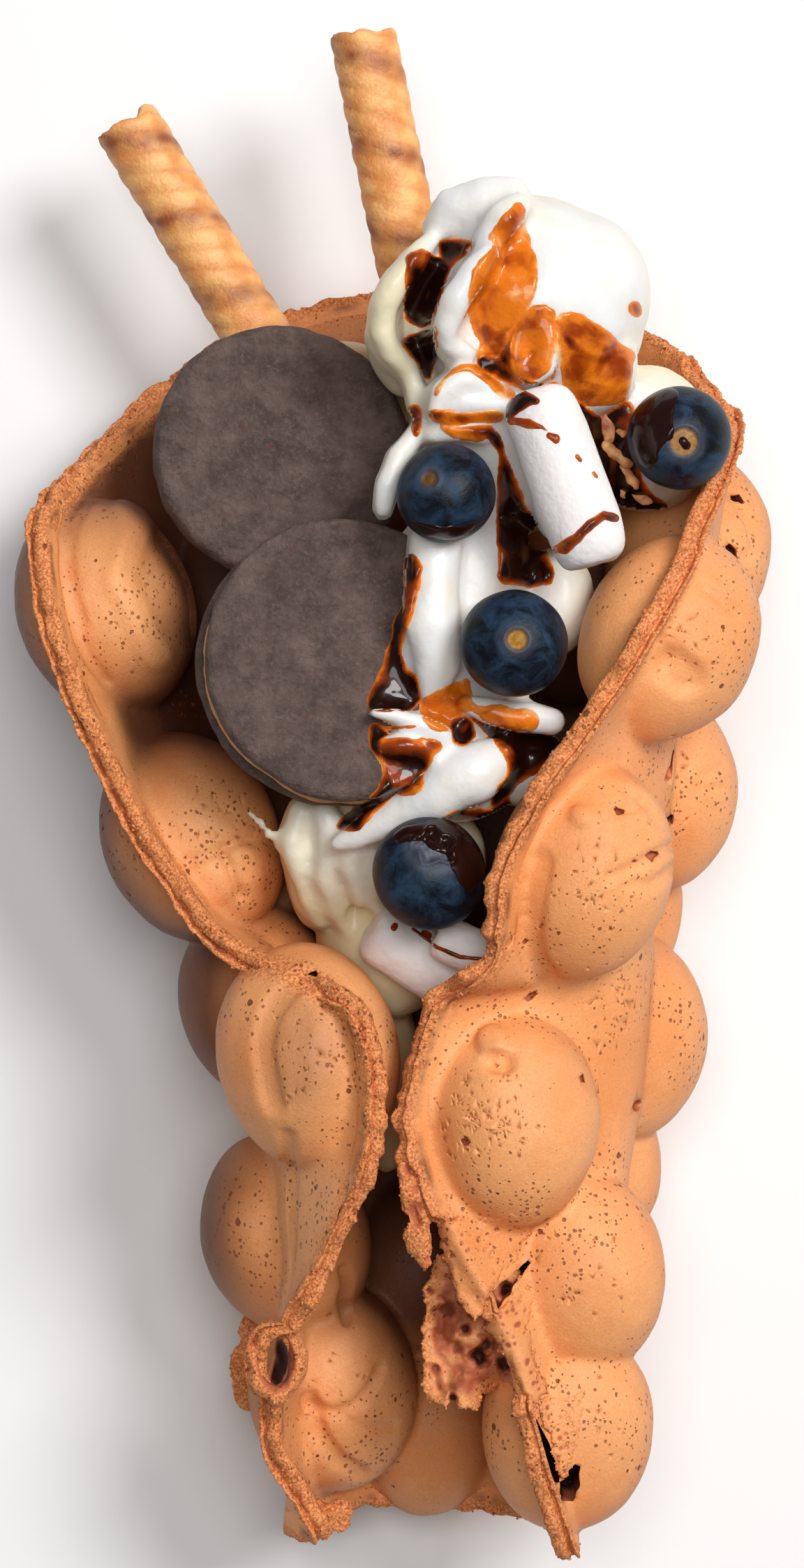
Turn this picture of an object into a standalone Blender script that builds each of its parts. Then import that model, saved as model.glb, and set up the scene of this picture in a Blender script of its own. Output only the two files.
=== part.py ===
"""Bubble waffle rolled round cream, biscuits, berries and marshmallows, lying on its back.

Lengths are written in millimetres and made metres by MM. X is to the right, Y runs from the
closed tip to the open mouth, and Z points up from the surface that the waffle lies on.
"""
import math
import random

import bmesh
import bpy
import numpy as np
from mathutils import Matrix, Vector

MM = 0.001
COLLECTION_NAME = "bubble_waffle"
GAP = 0.35

# The plane that the back bubbles are flattened on, and the middle of the finished object.
FLOOR_HEIGHT = 2.6
MIDDLE_X = -1.3
MIDDLE_Y = -0.2

# The sheet: one thin baked layer that joins the bubbles.
SHEET_THICKNESS = 3.0
SHEET_STEPS_ACROSS = 15
SHEET_STEPS_ALONG = 18
SHEET_CUT_EXTRA = 1.6
SHEET_CUT_OVERHANG = 0.02
RAGGED_EDGE = 0.9

# Sections of the rolled sheet from the tip to the mouth. Each holds the height Y of its left rim
# and of its right rim, how far its back stands above them, and the places (X, Z) that it passes
# from the left rim, round the back, to the right rim.
SHEET_SECTIONS = (
    (-124, -126, 3, ((-13, 47), (-18, 36), (-12, 22), (5, 15.4), (20, 22), (27, 38), (27, 62))),
    (-108, -110, 4, ((-21, 51), (-17, 38), (-9, 24), (6, 15.2), (22, 22), (28.5, 39), (22, 67))),
    (-92, -92, 6, ((-20, 58), (-18, 42), (-12, 26), (6, 15.2), (25, 24), (31, 45), (17, 70))),
    (-74, -74, 8, ((-10, 67), (-19, 49), (-19, 29), (6, 15.2), (29, 25), (34, 50), (7, 71))),
    (-55, -55, 10, ((-4.5, 73), (-15.5, 56), (-21, 30), (6, 15.2), (32, 26), (36, 53), (1, 71))),
    (-36, -36, 13, ((-8, 72), (-19.5, 52), (-24, 26), (5, 15.5), (34, 24), (38, 55), (5, 73))),
    (-27, -29, 15, ((-28, 58), (-27, 43), (-22, 22), (4, 15.5), (35, 22), (39, 55), (13, 79))),
    (-8, -10, 18, ((-42.5, 56), (-37.5, 38), (-24, 18), (2, 15.5), (36, 20), (42, 54), (17, 82.5))),
    (15, 12, 22, ((-53.5, 57.5), (-46, 38), (-28, 15.8), (0, 15.5), (38, 18.2), (45, 50), (31, 84))),
    (32, 30, 27, ((-58.5, 57), (-51, 37), (-31, 15.4), (-1, 15.5), (39, 18), (50, 46), (42, 81.5))),
    (43, 56, 34, ((-60, 53), (-53, 35), (-33, 17), (-1, 16), (39, 17), (53, 40), (54, 62))),
)
SECTION_POINTS = 7

# Bubbles are egg shaped and centred on the sheet, half outside and half inside.
BUBBLE_LENGTH = 34.0
BUBBLE_WIDTH = 27.6
BUBBLE_SIDES = 12
BUBBLE_RINGS = 7

# Each bubble: place across the sheet (0 left rim, 1 right rim), place along it (0 tip, 1 mouth),
# turn in the sheet in degrees, and size against the usual bubble.
BUBBLES = (
    (0.916, 0.848, 0, 1.03),
    (0.922, 0.673, 0, 1.04),
    (0.930, 0.398, 0, 1.04),
    (0.894, 0.120, 0, 1.04),
    (0.763, 0.883, 0, 1.01),
    (0.742, 0.695, 0, 1.03),
    (0.717, 0.431, 0, 1.05),
    (0.872, 0.257, 0, 1.01),
    (0.658, 0.545, 0, 1.02),
    (0.667, 0.315, 0, 1.03),
    (0.160, 0.850, 8, 1.08),
    (0.166, 0.677, 0, 1.08),
    (0.291, 0.456, 0, 0.98),
    (0.151, 0.441, 0, 1.09),
    (0.282, 0.268, 0, 1.03),
    (0.292, 0.125, 0, 1.05),
    (0.483, 0.074, 0, 0.92),
    (0.333, 0.800, 0, 0.98),
    (0.333, 0.620, 0, 0.98),
    (0.480, 0.905, 0, 0.98),
    (0.480, 0.735, 0, 0.99),
    (0.480, 0.565, 0, 0.99),
    (0.475, 0.390, 0, 0.98),
    (0.475, 0.215, 0, 0.95),
    (0.625, 0.790, 0, 0.98),
)

# Torn pieces of sheet that still hang on, as lumps: middle, half sizes and turn about Z in degrees.
TORN_FOLD = ((11.2, -91, 65), (8.5, 10.5, 6.5), 8)
TORN_STRIP = ((3.9, -69.5, 71.5), (2.6, 9.0, 2.2), 14)
TORN_FRINGE = ((-23.5, -97, 27), (5.5, 9.0, 2.2), -8)
TORN_TAIL = ((-13, -119, 36), (6.5, 4.0, 2.2), 20)
TORN_LUMPS = (TORN_FOLD, TORN_STRIP, TORN_FRINGE, TORN_TAIL)

# The left rim curls into a small loop round a hollow, and three bubbles have broken holes.
RIM_LOOP = {"middle": (-20.6, -94.5, 56), "half_width": 3.7, "half_length": 5.6, "thickness": 1.7}
HOLES = (
    ((-20.6, -94.5, 56), (2.3, 4.3, 7.0), 0),
    ((30.6, -110, 61), (1.3, 5.0, 6.0), -18),
    ((38.6, -53.0, 50), (2.0, 1.5, 5.0), 0),
)

# Cream: soft lumps, each with its middle and its half sizes, that melt into one body.
CREAM_LUMPS = (
    ((18, 77, 58), (22, 19, 24)),
    ((14, 88, 60), (12, 12, 18)),
    ((30, 78, 60), (11, 13, 16)),
    ((2, 76, 60), (7, 11, 15)),
    ((6, 84, 74), (5, 11, 8)),
    ((9, 72, 78), (4.5, 13, 7)),
    ((4, 62, 70), (5, 10, 7)),
    ((18, 58, 50), (17, 17, 25)),
    ((26, 52, 69), (9, 13, 9)),
    ((7, 45, 64), (8, 9, 9)),
    ((40, 54, 50), (11, 13, 17)),
    ((11, 31, 54), (11, 20, 20)),
    ((16, 22, 64), (8, 9, 11)),
    ((5, 16, 66), (8, 13, 9)),
    ((1, 6, 63), (7, 8, 9)),
    ((7, 14, 52), (13, 14, 18)),
    ((7, 4, 52), (14, 9, 16)),
    ((-13, -12, 48), (7, 12, 13)),
    ((-2, -9, 46), (14, 13, 14)),
    ((4, -12, 56), (10, 10, 9)),
    ((-2, -25, 42), (12, 14, 12)),
    ((-3, -52, 38), (7, 18, 8)),
    ((-20, 34, 38), (15, 22, 9)),
    ((-11, 60, 36), (18, 14, 8)),
    ((33, 51, 65), (3.5, 5.5, 3.5)),
    ((36, 66, 67), (6, 5, 5)),
    ((27, 45, 69), (5, 5, 4)),
)
CREAM_VOXEL = 2.4
CREAM_FACES_KEPT = 0.105

# Biscuits: middle, half width, thickness and the way the upper face leans.
BISCUIT_SIDES = 24
SMALL_BISCUIT = {"middle": (-20, 54.5, 50), "radius": 21.2, "lean": (0.10, 0.10, 1.0)}
SMALL_BISCUIT_THICKNESS = 6.0
LARGE_BISCUIT = {"middle": (-9.5, 19.8, 66), "radius": 23.0, "lean": (0.16, 0.14, 1.0)}
WAFER_THICKNESS = 3.6
FILLING_THICKNESS = 1.8
FILLING_INSET = 0.8

# Blueberries: middle, half width, and the way the flower end points.
BERRIES = (
    ((7, 46.5, 78), 8.0, (-0.35, 0.25, 0.9)),
    ((17.8, 22.4, 79.4), 8.6, (0.05, 0.05, 1.0)),
    ((44.5, 55.6, 73), 8.3, (0.05, -0.15, 1.0)),
    ((4.4, -14.4, 71), 9.2, (0.1, 0.55, 0.85)),
)
BERRY_SIDES = 11

# Marshmallows: the middles of both ends and the half width.
MARSHMALLOWS = (
    ((21.3, 61, 84), (30.3, 36.2, 85), 6.4),
    ((-4, -24.5, 56), (14, -35, 52), 5.8),
    ((6.5, -25, 62.5), (14.5, -28.5, 62.5), 3.8),
)
MARSHMALLOW_SIDES = 12

# Rolled wafer sticks: the middles of both ends, the half width and the pitch of the wound edge.
STICKS = (
    ((-13.1, 57, 33.5), (-46.6, 111.5, 33)),
    ((5.5, 66, 40), (-6.7, 125.4, 42)),
)
STICK_RADIUS = 5.5
STICK_RIDGE = 0.35
STICK_PITCH = 3.8
STICK_SIDES = 9
STICK_RINGS_PER_PITCH = 2

COLORS = {
    "waffle": (0.50, 0.20, 0.075, 1.0),
    "cream": (0.86, 0.80, 0.70, 1.0),
    "biscuit": (0.055, 0.042, 0.040, 1.0),
    "filling": (0.52, 0.30, 0.14, 1.0),
    "blueberry": (0.018, 0.026, 0.050, 1.0),
    "marshmallow": (0.88, 0.82, 0.78, 1.0),
    "wafer_stick": (0.66, 0.34, 0.12, 1.0),
}


def section_grid():
    """Places of the sheet's sections, with one more on each side so that curves reach the edges."""
    grid = np.zeros((len(SHEET_SECTIONS), SECTION_POINTS, 3))
    for row, (left, right, rise, places) in enumerate(SHEET_SECTIONS):
        for column, (x, z) in enumerate(places):
            across = column / (SECTION_POINTS - 1)
            y = left + (right - left) * across + rise * math.sin(math.pi * across) ** 2
            grid[row, column] = (x, y, z)
    grid = np.concatenate([2 * grid[:1] - grid[1:2], grid, 2 * grid[-1:] - grid[-2:-1]])
    first = 2 * grid[:, :1] - grid[:, 1:2]
    last = 2 * grid[:, -1:] - grid[:, -2:-1]
    return np.concatenate([first, grid, last], axis=1)


SECTION_GRID = section_grid()


def curve_weights(t):
    """Weights of four neighbouring places for a smooth curve that passes through them."""
    return np.array([
        -0.5 * t ** 3 + t ** 2 - 0.5 * t,
        1.5 * t ** 3 - 2.5 * t ** 2 + 1.0,
        -1.5 * t ** 3 + 2.0 * t ** 2 + 0.5 * t,
        0.5 * t ** 3 - 0.5 * t ** 2,
    ])


def sheet_point(across, along):
    """Place on the middle of the sheet."""
    column_place = across * (SECTION_POINTS - 1)
    row_place = along * (len(SHEET_SECTIONS) - 1)
    column = min(int(max(column_place, 0)), SECTION_POINTS - 2)
    row = min(int(max(row_place, 0)), len(SHEET_SECTIONS) - 2)
    patch = SECTION_GRID[row:row + 4, column:column + 4]
    weights_along = curve_weights(row_place - row)
    weights_across = curve_weights(column_place - column)
    return Vector(np.einsum("i,j,ijk->k", weights_along, weights_across, patch))


def sheet_axes(across, along, turn):
    """Long axis, cross axis and inward normal of the sheet at a place."""
    step = 0.004
    long_axis = sheet_point(across, along + step) - sheet_point(across, along - step)
    cross = sheet_point(across + step, along) - sheet_point(across - step, along)
    normal = cross.cross(long_axis).normalized()
    long_axis = Matrix.Rotation(math.radians(turn), 3, normal) @ long_axis.normalized()
    return long_axis, long_axis.cross(normal), normal


def make_material(name, roughness):
    material = bpy.data.materials.new(name)
    material.use_nodes = True
    shader = material.node_tree.nodes["Principled BSDF"]
    shader.inputs["Base Color"].default_value = COLORS[name]
    shader.inputs["Roughness"].default_value = roughness
    material.diffuse_color = COLORS[name]
    return material


def add_object(name, mesh, collection, material=None):
    obj = bpy.data.objects.new(name, mesh)
    collection.objects.link(obj)
    if material:
        mesh.materials.append(material)
    return obj


def bmesh_object(name, bm, collection, material=None):
    mesh = bpy.data.meshes.new(name)
    bm.to_mesh(mesh)
    bm.free()
    return add_object(name, mesh, collection, material)


def freeze(obj):
    """Replace an object's mesh by what its modifiers make of it."""
    depsgraph = bpy.context.evaluated_depsgraph_get()
    mesh = bpy.data.meshes.new_from_object(obj.evaluated_get(depsgraph))
    obj.modifiers.clear()
    obj.data = mesh


def remove_collection(collection):
    for obj in list(collection.objects):
        bpy.data.objects.remove(obj, do_unlink=True)
    bpy.data.collections.remove(collection)


def combine(obj, others, operation):
    """Apply one Boolean with a whole collection and remove the collection's objects."""
    modifier = obj.modifiers.new(operation.title(), "BOOLEAN")
    modifier.operand_type = "COLLECTION"
    modifier.collection = others
    modifier.operation = operation
    freeze(obj)
    remove_collection(others)


def new_collection(name, parent):
    collection = bpy.data.collections.new(name)
    parent.children.link(collection)
    return collection


def add_cutter_display(collection):
    for obj in collection.objects:
        obj.hide_render = True
        obj.display_type = "WIRE"


def axes_matrix(middle, x_axis, y_axis, z_axis):
    matrix = Matrix((x_axis, y_axis, z_axis)).transposed().to_4x4()
    matrix.translation = Vector(middle)
    return matrix


def pointing_matrix(middle, direction):
    """Matrix whose Z runs along a direction."""
    matrix = Vector(direction).to_track_quat("Z", "Y").to_matrix().to_4x4()
    matrix.translation = Vector(middle)
    return matrix


def finish_place(obj):
    """Shift to the object's own origin and make millimetres metres."""
    shift = Matrix.Translation((-MIDDLE_X, -MIDDLE_Y, -FLOOR_HEIGHT))
    obj.data.transform(Matrix.Scale(MM, 4) @ shift)
    obj.data.shade_smooth()
    obj.data.set_sharp_from_angle(angle=math.radians(50))


def steps_with_overhang(steps, overhang):
    """Even places from 0 to 1, with the first and last moved outwards."""
    places = [step / steps for step in range(steps + 1)]
    places[0] -= overhang
    places[-1] += overhang
    return places


def make_sheet(name, thickness, overhang, collection, material=None):
    """The open sheet as a grid through its sections, thickened to both sides."""
    rng = random.Random(7)
    bm = bmesh.new()
    rows = []
    for j, along in enumerate(steps_with_overhang(SHEET_STEPS_ALONG, overhang)):
        row = []
        for i, across in enumerate(steps_with_overhang(SHEET_STEPS_ACROSS, overhang)):
            place = sheet_point(across, along)
            on_edge = i in (0, SHEET_STEPS_ACROSS) or j in (0, SHEET_STEPS_ALONG)
            ragged = rng.uniform(-RAGGED_EDGE, RAGGED_EDGE) if on_edge else 0.0
            row.append(bm.verts.new(place + Vector((ragged, 2 * ragged, 0))))
        rows.append(row)
    for lower, upper in zip(rows, rows[1:]):
        for i in range(SHEET_STEPS_ACROSS):
            bm.faces.new((lower[i], lower[i + 1], upper[i + 1], upper[i]))
    obj = bmesh_object(name, bm, collection, material)
    solidify = obj.modifiers.new("Thickness", "SOLIDIFY")
    solidify.thickness = thickness
    solidify.offset = 0.0
    freeze(obj)
    return obj


def make_bubbles(collection, growth):
    """Egg shapes centred on the sheet, each grown by a small distance."""
    for number, (across, along, turn, size) in enumerate(BUBBLES):
        axes = sheet_axes(across, along, turn)
        radius = BUBBLE_WIDTH / 2 * size + growth
        half_length = BUBBLE_LENGTH / 2 * size + growth
        bm = bmesh.new()
        bmesh.ops.create_uvsphere(bm, u_segments=BUBBLE_SIDES, v_segments=BUBBLE_RINGS, radius=1.0)
        bmesh.ops.scale(bm, vec=(radius, radius, half_length), verts=bm.verts)
        matrix = axes_matrix(sheet_point(across, along), axes[2], axes[1], axes[0])
        bmesh.ops.transform(bm, matrix=matrix, verts=bm.verts)
        bmesh_object("bubble_%02d" % number, bm, collection)


def add_lump(name, lump, sides, rings, collection):
    """Rounded lump with its own half sizes, turned about Z."""
    middle, half_sizes, turn = lump
    bm = bmesh.new()
    bmesh.ops.create_uvsphere(bm, u_segments=sides, v_segments=rings, radius=1.0)
    bmesh.ops.scale(bm, vec=half_sizes, verts=bm.verts)
    matrix = Matrix.Translation(middle) @ Matrix.Rotation(math.radians(turn), 4, "Z")
    bmesh.ops.transform(bm, matrix=matrix, verts=bm.verts)
    return bmesh_object(name, bm, collection)


def add_rim_loop(collection):
    """Oval ring of rim round the hollow."""
    loop = RIM_LOOP
    sides, tube_sides = 14, 6
    bm = bmesh.new()
    rings = []
    for i in range(sides):
        angle = 2 * math.pi * i / sides
        ring = []
        for j in range(tube_sides):
            tube = 2 * math.pi * j / tube_sides
            out = loop["thickness"] * math.cos(tube)
            x = (loop["half_width"] + out) * math.cos(angle)
            y = (loop["half_length"] + out) * math.sin(angle)
            z = 1.6 * loop["thickness"] * math.sin(tube)
            ring.append(bm.verts.new(Vector(loop["middle"]) + Vector((x, y, z))))
        rings.append(ring)
    for i in range(sides):
        near, far = rings[i], rings[(i + 1) % sides]
        for j in range(tube_sides):
            k = (j + 1) % tube_sides
            bm.faces.new((near[j], far[j], far[k], near[k]))
    return bmesh_object("rim_loop", bm, collection)


def floor_block(collection):
    """Block under the surface that the waffle lies on."""
    depth = 20.0
    bm = bmesh.new()
    bmesh.ops.create_cube(bm, size=1.0)
    bmesh.ops.scale(bm, vec=(300, 400, depth), verts=bm.verts)
    bmesh.ops.translate(bm, vec=(0, 0, FLOOR_HEIGHT - depth / 2), verts=bm.verts)
    return bmesh_object("floor_block", bm, collection)


def make_waffle(scene_collection, parts, material):
    waffle = make_sheet("waffle", SHEET_THICKNESS, 0.0, parts, material)
    bubbles = new_collection("bubbles", scene_collection)
    make_bubbles(bubbles, 0.0)
    for number, lump in enumerate(TORN_LUMPS):
        add_lump("torn_%d" % number, lump, 10, 7, bubbles)
    add_rim_loop(bubbles)
    combine(waffle, bubbles, "UNION")
    cutters = new_collection("waffle_cuts", scene_collection)
    floor_block(cutters)
    for number, hole in enumerate(HOLES):
        add_lump("hole_%d" % number, hole, 8, 6, cutters)
    combine(waffle, cutters, "DIFFERENCE")
    return waffle


def make_cream(parts, material):
    bm = bmesh.new()
    for middle, half_sizes in CREAM_LUMPS:
        made = bmesh.ops.create_uvsphere(bm, u_segments=24, v_segments=16, radius=1.0)
        bmesh.ops.scale(bm, vec=half_sizes, verts=made["verts"])
        bmesh.ops.translate(bm, vec=middle, verts=made["verts"])
    cream = bmesh_object("cream", bm, parts, material)
    remesh = cream.modifiers.new("Melt", "REMESH")
    remesh.mode = "VOXEL"
    remesh.voxel_size = CREAM_VOXEL
    soften = cream.modifiers.new("Soften", "SMOOTH")
    soften.iterations = 4
    decimate = cream.modifiers.new("Fewer", "DECIMATE")
    decimate.ratio = CREAM_FACES_KEPT
    freeze(cream)
    return cream


def turned(name, profile, sides, matrix, collection, material=None):
    """Turn a profile of (radius, height) points, listed from top to bottom, about its own axis."""
    bm = bmesh.new()
    verts = [bm.verts.new((radius, 0, height)) for radius, height in profile]
    for a, b in zip(verts, verts[1:]):
        bm.edges.new((a, b))
    obj = bmesh_object(name, bm, collection, material)
    screw = obj.modifiers.new("Turn", "SCREW")
    screw.steps = sides
    screw.render_steps = sides
    screw.use_merge_vertices = True
    screw.merge_threshold = 0.0001
    freeze(obj)
    obj.data.transform(matrix)
    return obj


def disc_profile(radius, low, high, rounding):
    """Half outline of a disc with rounded edges."""
    return (
        (0, high), (radius - rounding, high), (radius - 0.25 * rounding, high - 0.3 * rounding),
        (radius, high - rounding), (radius, low + rounding),
        (radius - 0.25 * rounding, low + 0.3 * rounding), (radius - rounding, low), (0, low),
    )


def make_small_biscuit(name, grow, collection, material=None):
    matrix = pointing_matrix(SMALL_BISCUIT["middle"], SMALL_BISCUIT["lean"])
    half = SMALL_BISCUIT_THICKNESS / 2 + grow
    profile = disc_profile(SMALL_BISCUIT["radius"] + grow, -half, half, 1.4)
    return turned(name, profile, BISCUIT_SIDES, matrix, collection, material)


def large_biscuit_layers():
    """Name, half width, lower face and upper face of each layer."""
    half_filling = FILLING_THICKNESS / 2
    radius = LARGE_BISCUIT["radius"]
    return (
        ("biscuit_2_base", "biscuit", radius, -half_filling - GAP - WAFER_THICKNESS, -half_filling - GAP),
        ("biscuit_2_filling", "filling", radius - FILLING_INSET, -half_filling, half_filling),
        ("biscuit_2_top", "biscuit", radius, half_filling + GAP, half_filling + GAP + WAFER_THICKNESS),
    )


def make_large_biscuit(collection, materials):
    matrix = pointing_matrix(LARGE_BISCUIT["middle"], LARGE_BISCUIT["lean"])
    for name, kind, radius, low, high in large_biscuit_layers():
        rounding = 1.1 if kind == "biscuit" else 0.5
        profile = disc_profile(radius, low, high, rounding)
        turned(name, profile, BISCUIT_SIDES, matrix, collection, materials[kind])


def large_biscuit_cutter(collection):
    matrix = pointing_matrix(LARGE_BISCUIT["middle"], LARGE_BISCUIT["lean"])
    half = FILLING_THICKNESS / 2 + GAP + WAFER_THICKNESS + GAP
    profile = disc_profile(LARGE_BISCUIT["radius"] + GAP, -half, half, 1.1)
    turned("biscuit_2_cut", profile, BISCUIT_SIDES, matrix, collection)


def berry_profile(radius, dished):
    """Half outline of a berry, with the raised ring and the hollow of its flower end."""
    points = []
    if dished:
        points += [(0, 0.80 * radius), (0.17 * radius, 0.82 * radius), (0.26 * radius, 0.97 * radius)]
    else:
        points += [(0, 0.96 * radius)]
    for step in range(2, 9):
        angle = math.pi * step / 9
        points.append((radius * math.sin(angle), 0.94 * radius * math.cos(angle)))
    points.append((0, -0.92 * radius))
    return points


def make_berry(name, berry, grow, collection, material=None):
    middle, radius, direction = berry
    profile = berry_profile(radius + grow, grow == 0)
    return turned(name, profile, BERRY_SIDES, pointing_matrix(middle, direction), collection, material)


def make_marshmallow(name, marshmallow, grow, collection, material=None):
    low, high, radius = marshmallow
    low, high = Vector(low), Vector(high)
    half = (high - low).length / 2 + radius * 0.25 + grow
    matrix = pointing_matrix((low + high) / 2, high - low)
    r = radius + grow
    profile = (
        (0, half), (0.62 * r, half), (0.92 * r, half - 0.22 * r), (r, half - 0.6 * r),
        (0.97 * r, 0), (r, 0.6 * r - half), (0.92 * r, 0.22 * r - half), (0.62 * r, -half), (0, -half),
    )
    return turned(name, profile, MARSHMALLOW_SIDES, matrix, collection, material)


def make_stick(name, ends, grow, collection, material=None):
    """Round stick whose wound edge stands up as a low screw of ridges."""
    low, high = Vector(ends[0]), Vector(ends[1])
    length = (high - low).length
    rings = int(length / STICK_PITCH * STICK_RINGS_PER_PITCH) if material else 1
    matrix = pointing_matrix(low, high - low)
    bm = bmesh.new()
    loops = []
    for ring in range(rings + 1):
        height = length * ring / rings + (grow if ring == rings else -grow if ring == 0 else 0)
        loop = []
        for side in range(STICK_SIDES):
            angle = 2 * math.pi * side / STICK_SIDES
            phase = height / STICK_PITCH - angle / (2 * math.pi)
            ridge = STICK_RIDGE * math.cos(2 * math.pi * phase) if material else STICK_RIDGE
            radius = (STICK_RADIUS + ridge + grow) / math.cos(math.pi / STICK_SIDES * (grow > 0))
            loop.append(bm.verts.new((radius * math.cos(angle), radius * math.sin(angle), height)))
        loops.append(loop)
    for lower, upper in zip(loops, loops[1:]):
        for i in range(STICK_SIDES):
            j = (i + 1) % STICK_SIDES
            bm.faces.new((lower[i], lower[j], upper[j], upper[i]))
    bm.faces.new(list(reversed(loops[0])))
    bm.faces.new(loops[-1])
    bmesh.ops.transform(bm, matrix=matrix, verts=bm.verts)
    return bmesh_object(name, bm, collection, material)


def cut_cream(cream, scene_collection):
    """Press the shapes of all that it touches into the cream."""
    cutters = new_collection("cream_cuts", scene_collection)
    make_bubbles(cutters, GAP)
    make_sheet("sheet_cut", SHEET_THICKNESS + SHEET_CUT_EXTRA, SHEET_CUT_OVERHANG, cutters)
    make_small_biscuit("biscuit_1_cut", GAP, cutters)
    large_biscuit_cutter(cutters)
    for number, berry in enumerate(BERRIES):
        make_berry("blueberry_cut_%d" % number, berry, GAP, cutters)
    for number, marshmallow in enumerate(MARSHMALLOWS):
        make_marshmallow("marshmallow_cut_%d" % number, marshmallow, GAP, cutters)
    for number, ends in enumerate(STICKS):
        make_stick("stick_cut_%d" % number, ends, GAP, cutters)
    add_cutter_display(cutters)
    combine(cream, cutters, "DIFFERENCE")


def main():
    for obj in list(bpy.data.objects):
        bpy.data.objects.remove(obj, do_unlink=True)
    scene_collection = bpy.context.scene.collection
    parts = new_collection(COLLECTION_NAME, scene_collection)
    roughness = {"biscuit": 0.7, "waffle": 0.7, "blueberry": 0.45}
    materials = {name: make_material(name, roughness.get(name, 0.6)) for name in COLORS}

    make_waffle(scene_collection, parts, materials["waffle"])
    cream = make_cream(parts, materials["cream"])
    cut_cream(cream, scene_collection)
    make_small_biscuit("biscuit_1", 0.0, parts, materials["biscuit"])
    make_large_biscuit(parts, materials)
    for number, berry in enumerate(BERRIES, 1):
        make_berry("blueberry_%d" % number, berry, 0.0, parts, materials["blueberry"])
    for number, marshmallow in enumerate(MARSHMALLOWS, 1):
        make_marshmallow("marshmallow_%d" % number, marshmallow, 0.0, parts, materials["marshmallow"])
    for number, ends in enumerate(STICKS, 1):
        make_stick("wafer_stick_%d" % number, ends, 0.0, parts, materials["wafer_stick"])
    for obj in parts.objects:
        finish_place(obj)


main()
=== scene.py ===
"""Bubble waffle filled with cream, biscuits, berries and marshmallows, as it looks.

Meshes are made in millimetres, in the frame of the solids' source: X to the right, Y from the
closed tip to the open mouth, Z up. set_down moves each finished mesh to the object's own origin
and makes it metres.
"""
import math
import random

import bmesh
import bpy
import numpy as np
from mathutils import Matrix, Vector
from mathutils.bvhtree import BVHTree
from mathutils.kdtree import KDTree


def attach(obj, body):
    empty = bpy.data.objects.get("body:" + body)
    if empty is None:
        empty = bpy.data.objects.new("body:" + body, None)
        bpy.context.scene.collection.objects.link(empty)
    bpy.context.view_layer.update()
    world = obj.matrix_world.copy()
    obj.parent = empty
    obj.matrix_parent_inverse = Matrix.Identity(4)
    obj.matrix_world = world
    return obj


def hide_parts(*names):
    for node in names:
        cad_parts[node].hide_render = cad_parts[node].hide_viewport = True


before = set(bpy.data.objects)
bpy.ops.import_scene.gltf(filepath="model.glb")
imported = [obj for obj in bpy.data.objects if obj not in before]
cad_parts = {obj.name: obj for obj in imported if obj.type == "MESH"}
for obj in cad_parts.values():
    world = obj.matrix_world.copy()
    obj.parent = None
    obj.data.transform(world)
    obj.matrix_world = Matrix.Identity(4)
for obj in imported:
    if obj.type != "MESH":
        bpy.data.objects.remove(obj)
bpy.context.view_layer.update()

# The table and the light. The waffle lies on a pale table and is seen from straight above. A large
# soft lamp stands to the upper right, with a wide weak one overhead.
CAMERA_HEIGHT = 0.9474
CAMERA_PLACE = (0.0013, 0.0002, CAMERA_HEIGHT)
FOCUS_HEIGHT = 0.0474
VIEW_TALL = 0.2584
SENSOR = 36.0


def add_object(name, data):
    obj = bpy.data.objects.new(name, data)
    bpy.context.scene.collection.objects.link(obj)
    return obj


camera_data = bpy.data.cameras.new("camera")
camera_data.sensor_width = SENSOR
camera_data.lens = SENSOR * (CAMERA_HEIGHT - FOCUS_HEIGHT) / VIEW_TALL
camera = add_object("camera", camera_data)
camera.location = CAMERA_PLACE
bpy.context.scene.camera = camera
bpy.context.scene.view_settings.view_transform = "Standard"


def add_lamp(name, place, size, power):
    data = bpy.data.lights.new(name, "AREA")
    data.shape = "DISK"
    data.size = size
    data.energy = power
    lamp = add_object(name, data)
    lamp.location = place
    lamp.rotation_euler = (-Vector(place)).to_track_quat("-Z", "Y").to_euler()


def new_material(name, values):
    """A new material with its node tree and its shader, which gets these fixed values."""
    material = bpy.data.materials.new(name)
    material.use_nodes = True
    shader = material.node_tree.nodes["Principled BSDF"]
    for input_name, value in values.items():
        shader.inputs[input_name].default_value = value
    return material, material.node_tree, shader


def paint(obj, material):
    """Give an object this material only."""
    obj.data.materials.clear()
    obj.data.materials.append(material)


add_lamp("key_lamp", (0.74, 0.55, 1.35), 0.60, 18.0)
add_lamp("top_lamp", (0.04, 0.20, 1.60), 0.80, 10.5)

world = bpy.data.worlds.new("studio")
world.use_nodes = True
world.node_tree.nodes["Background"].inputs["Color"].default_value = (1.0, 1.0, 1.0, 1.0)
world.node_tree.nodes["Background"].inputs["Strength"].default_value = 0.13
bpy.context.scene.world = world

floor_mesh = bpy.data.meshes.new("table_top")
floor_mesh.from_pydata([(-4, -4, 0), (4, -4, 0), (4, 4, 0), (-4, 4, 0)], [], [(0, 1, 2, 3)])
table_top = add_object("table_top", floor_mesh)
paint(table_top, new_material("pale_table", {"Base Color": (0.93, 0.93, 0.93, 1), "Roughness": 0.9})[0])

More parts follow.
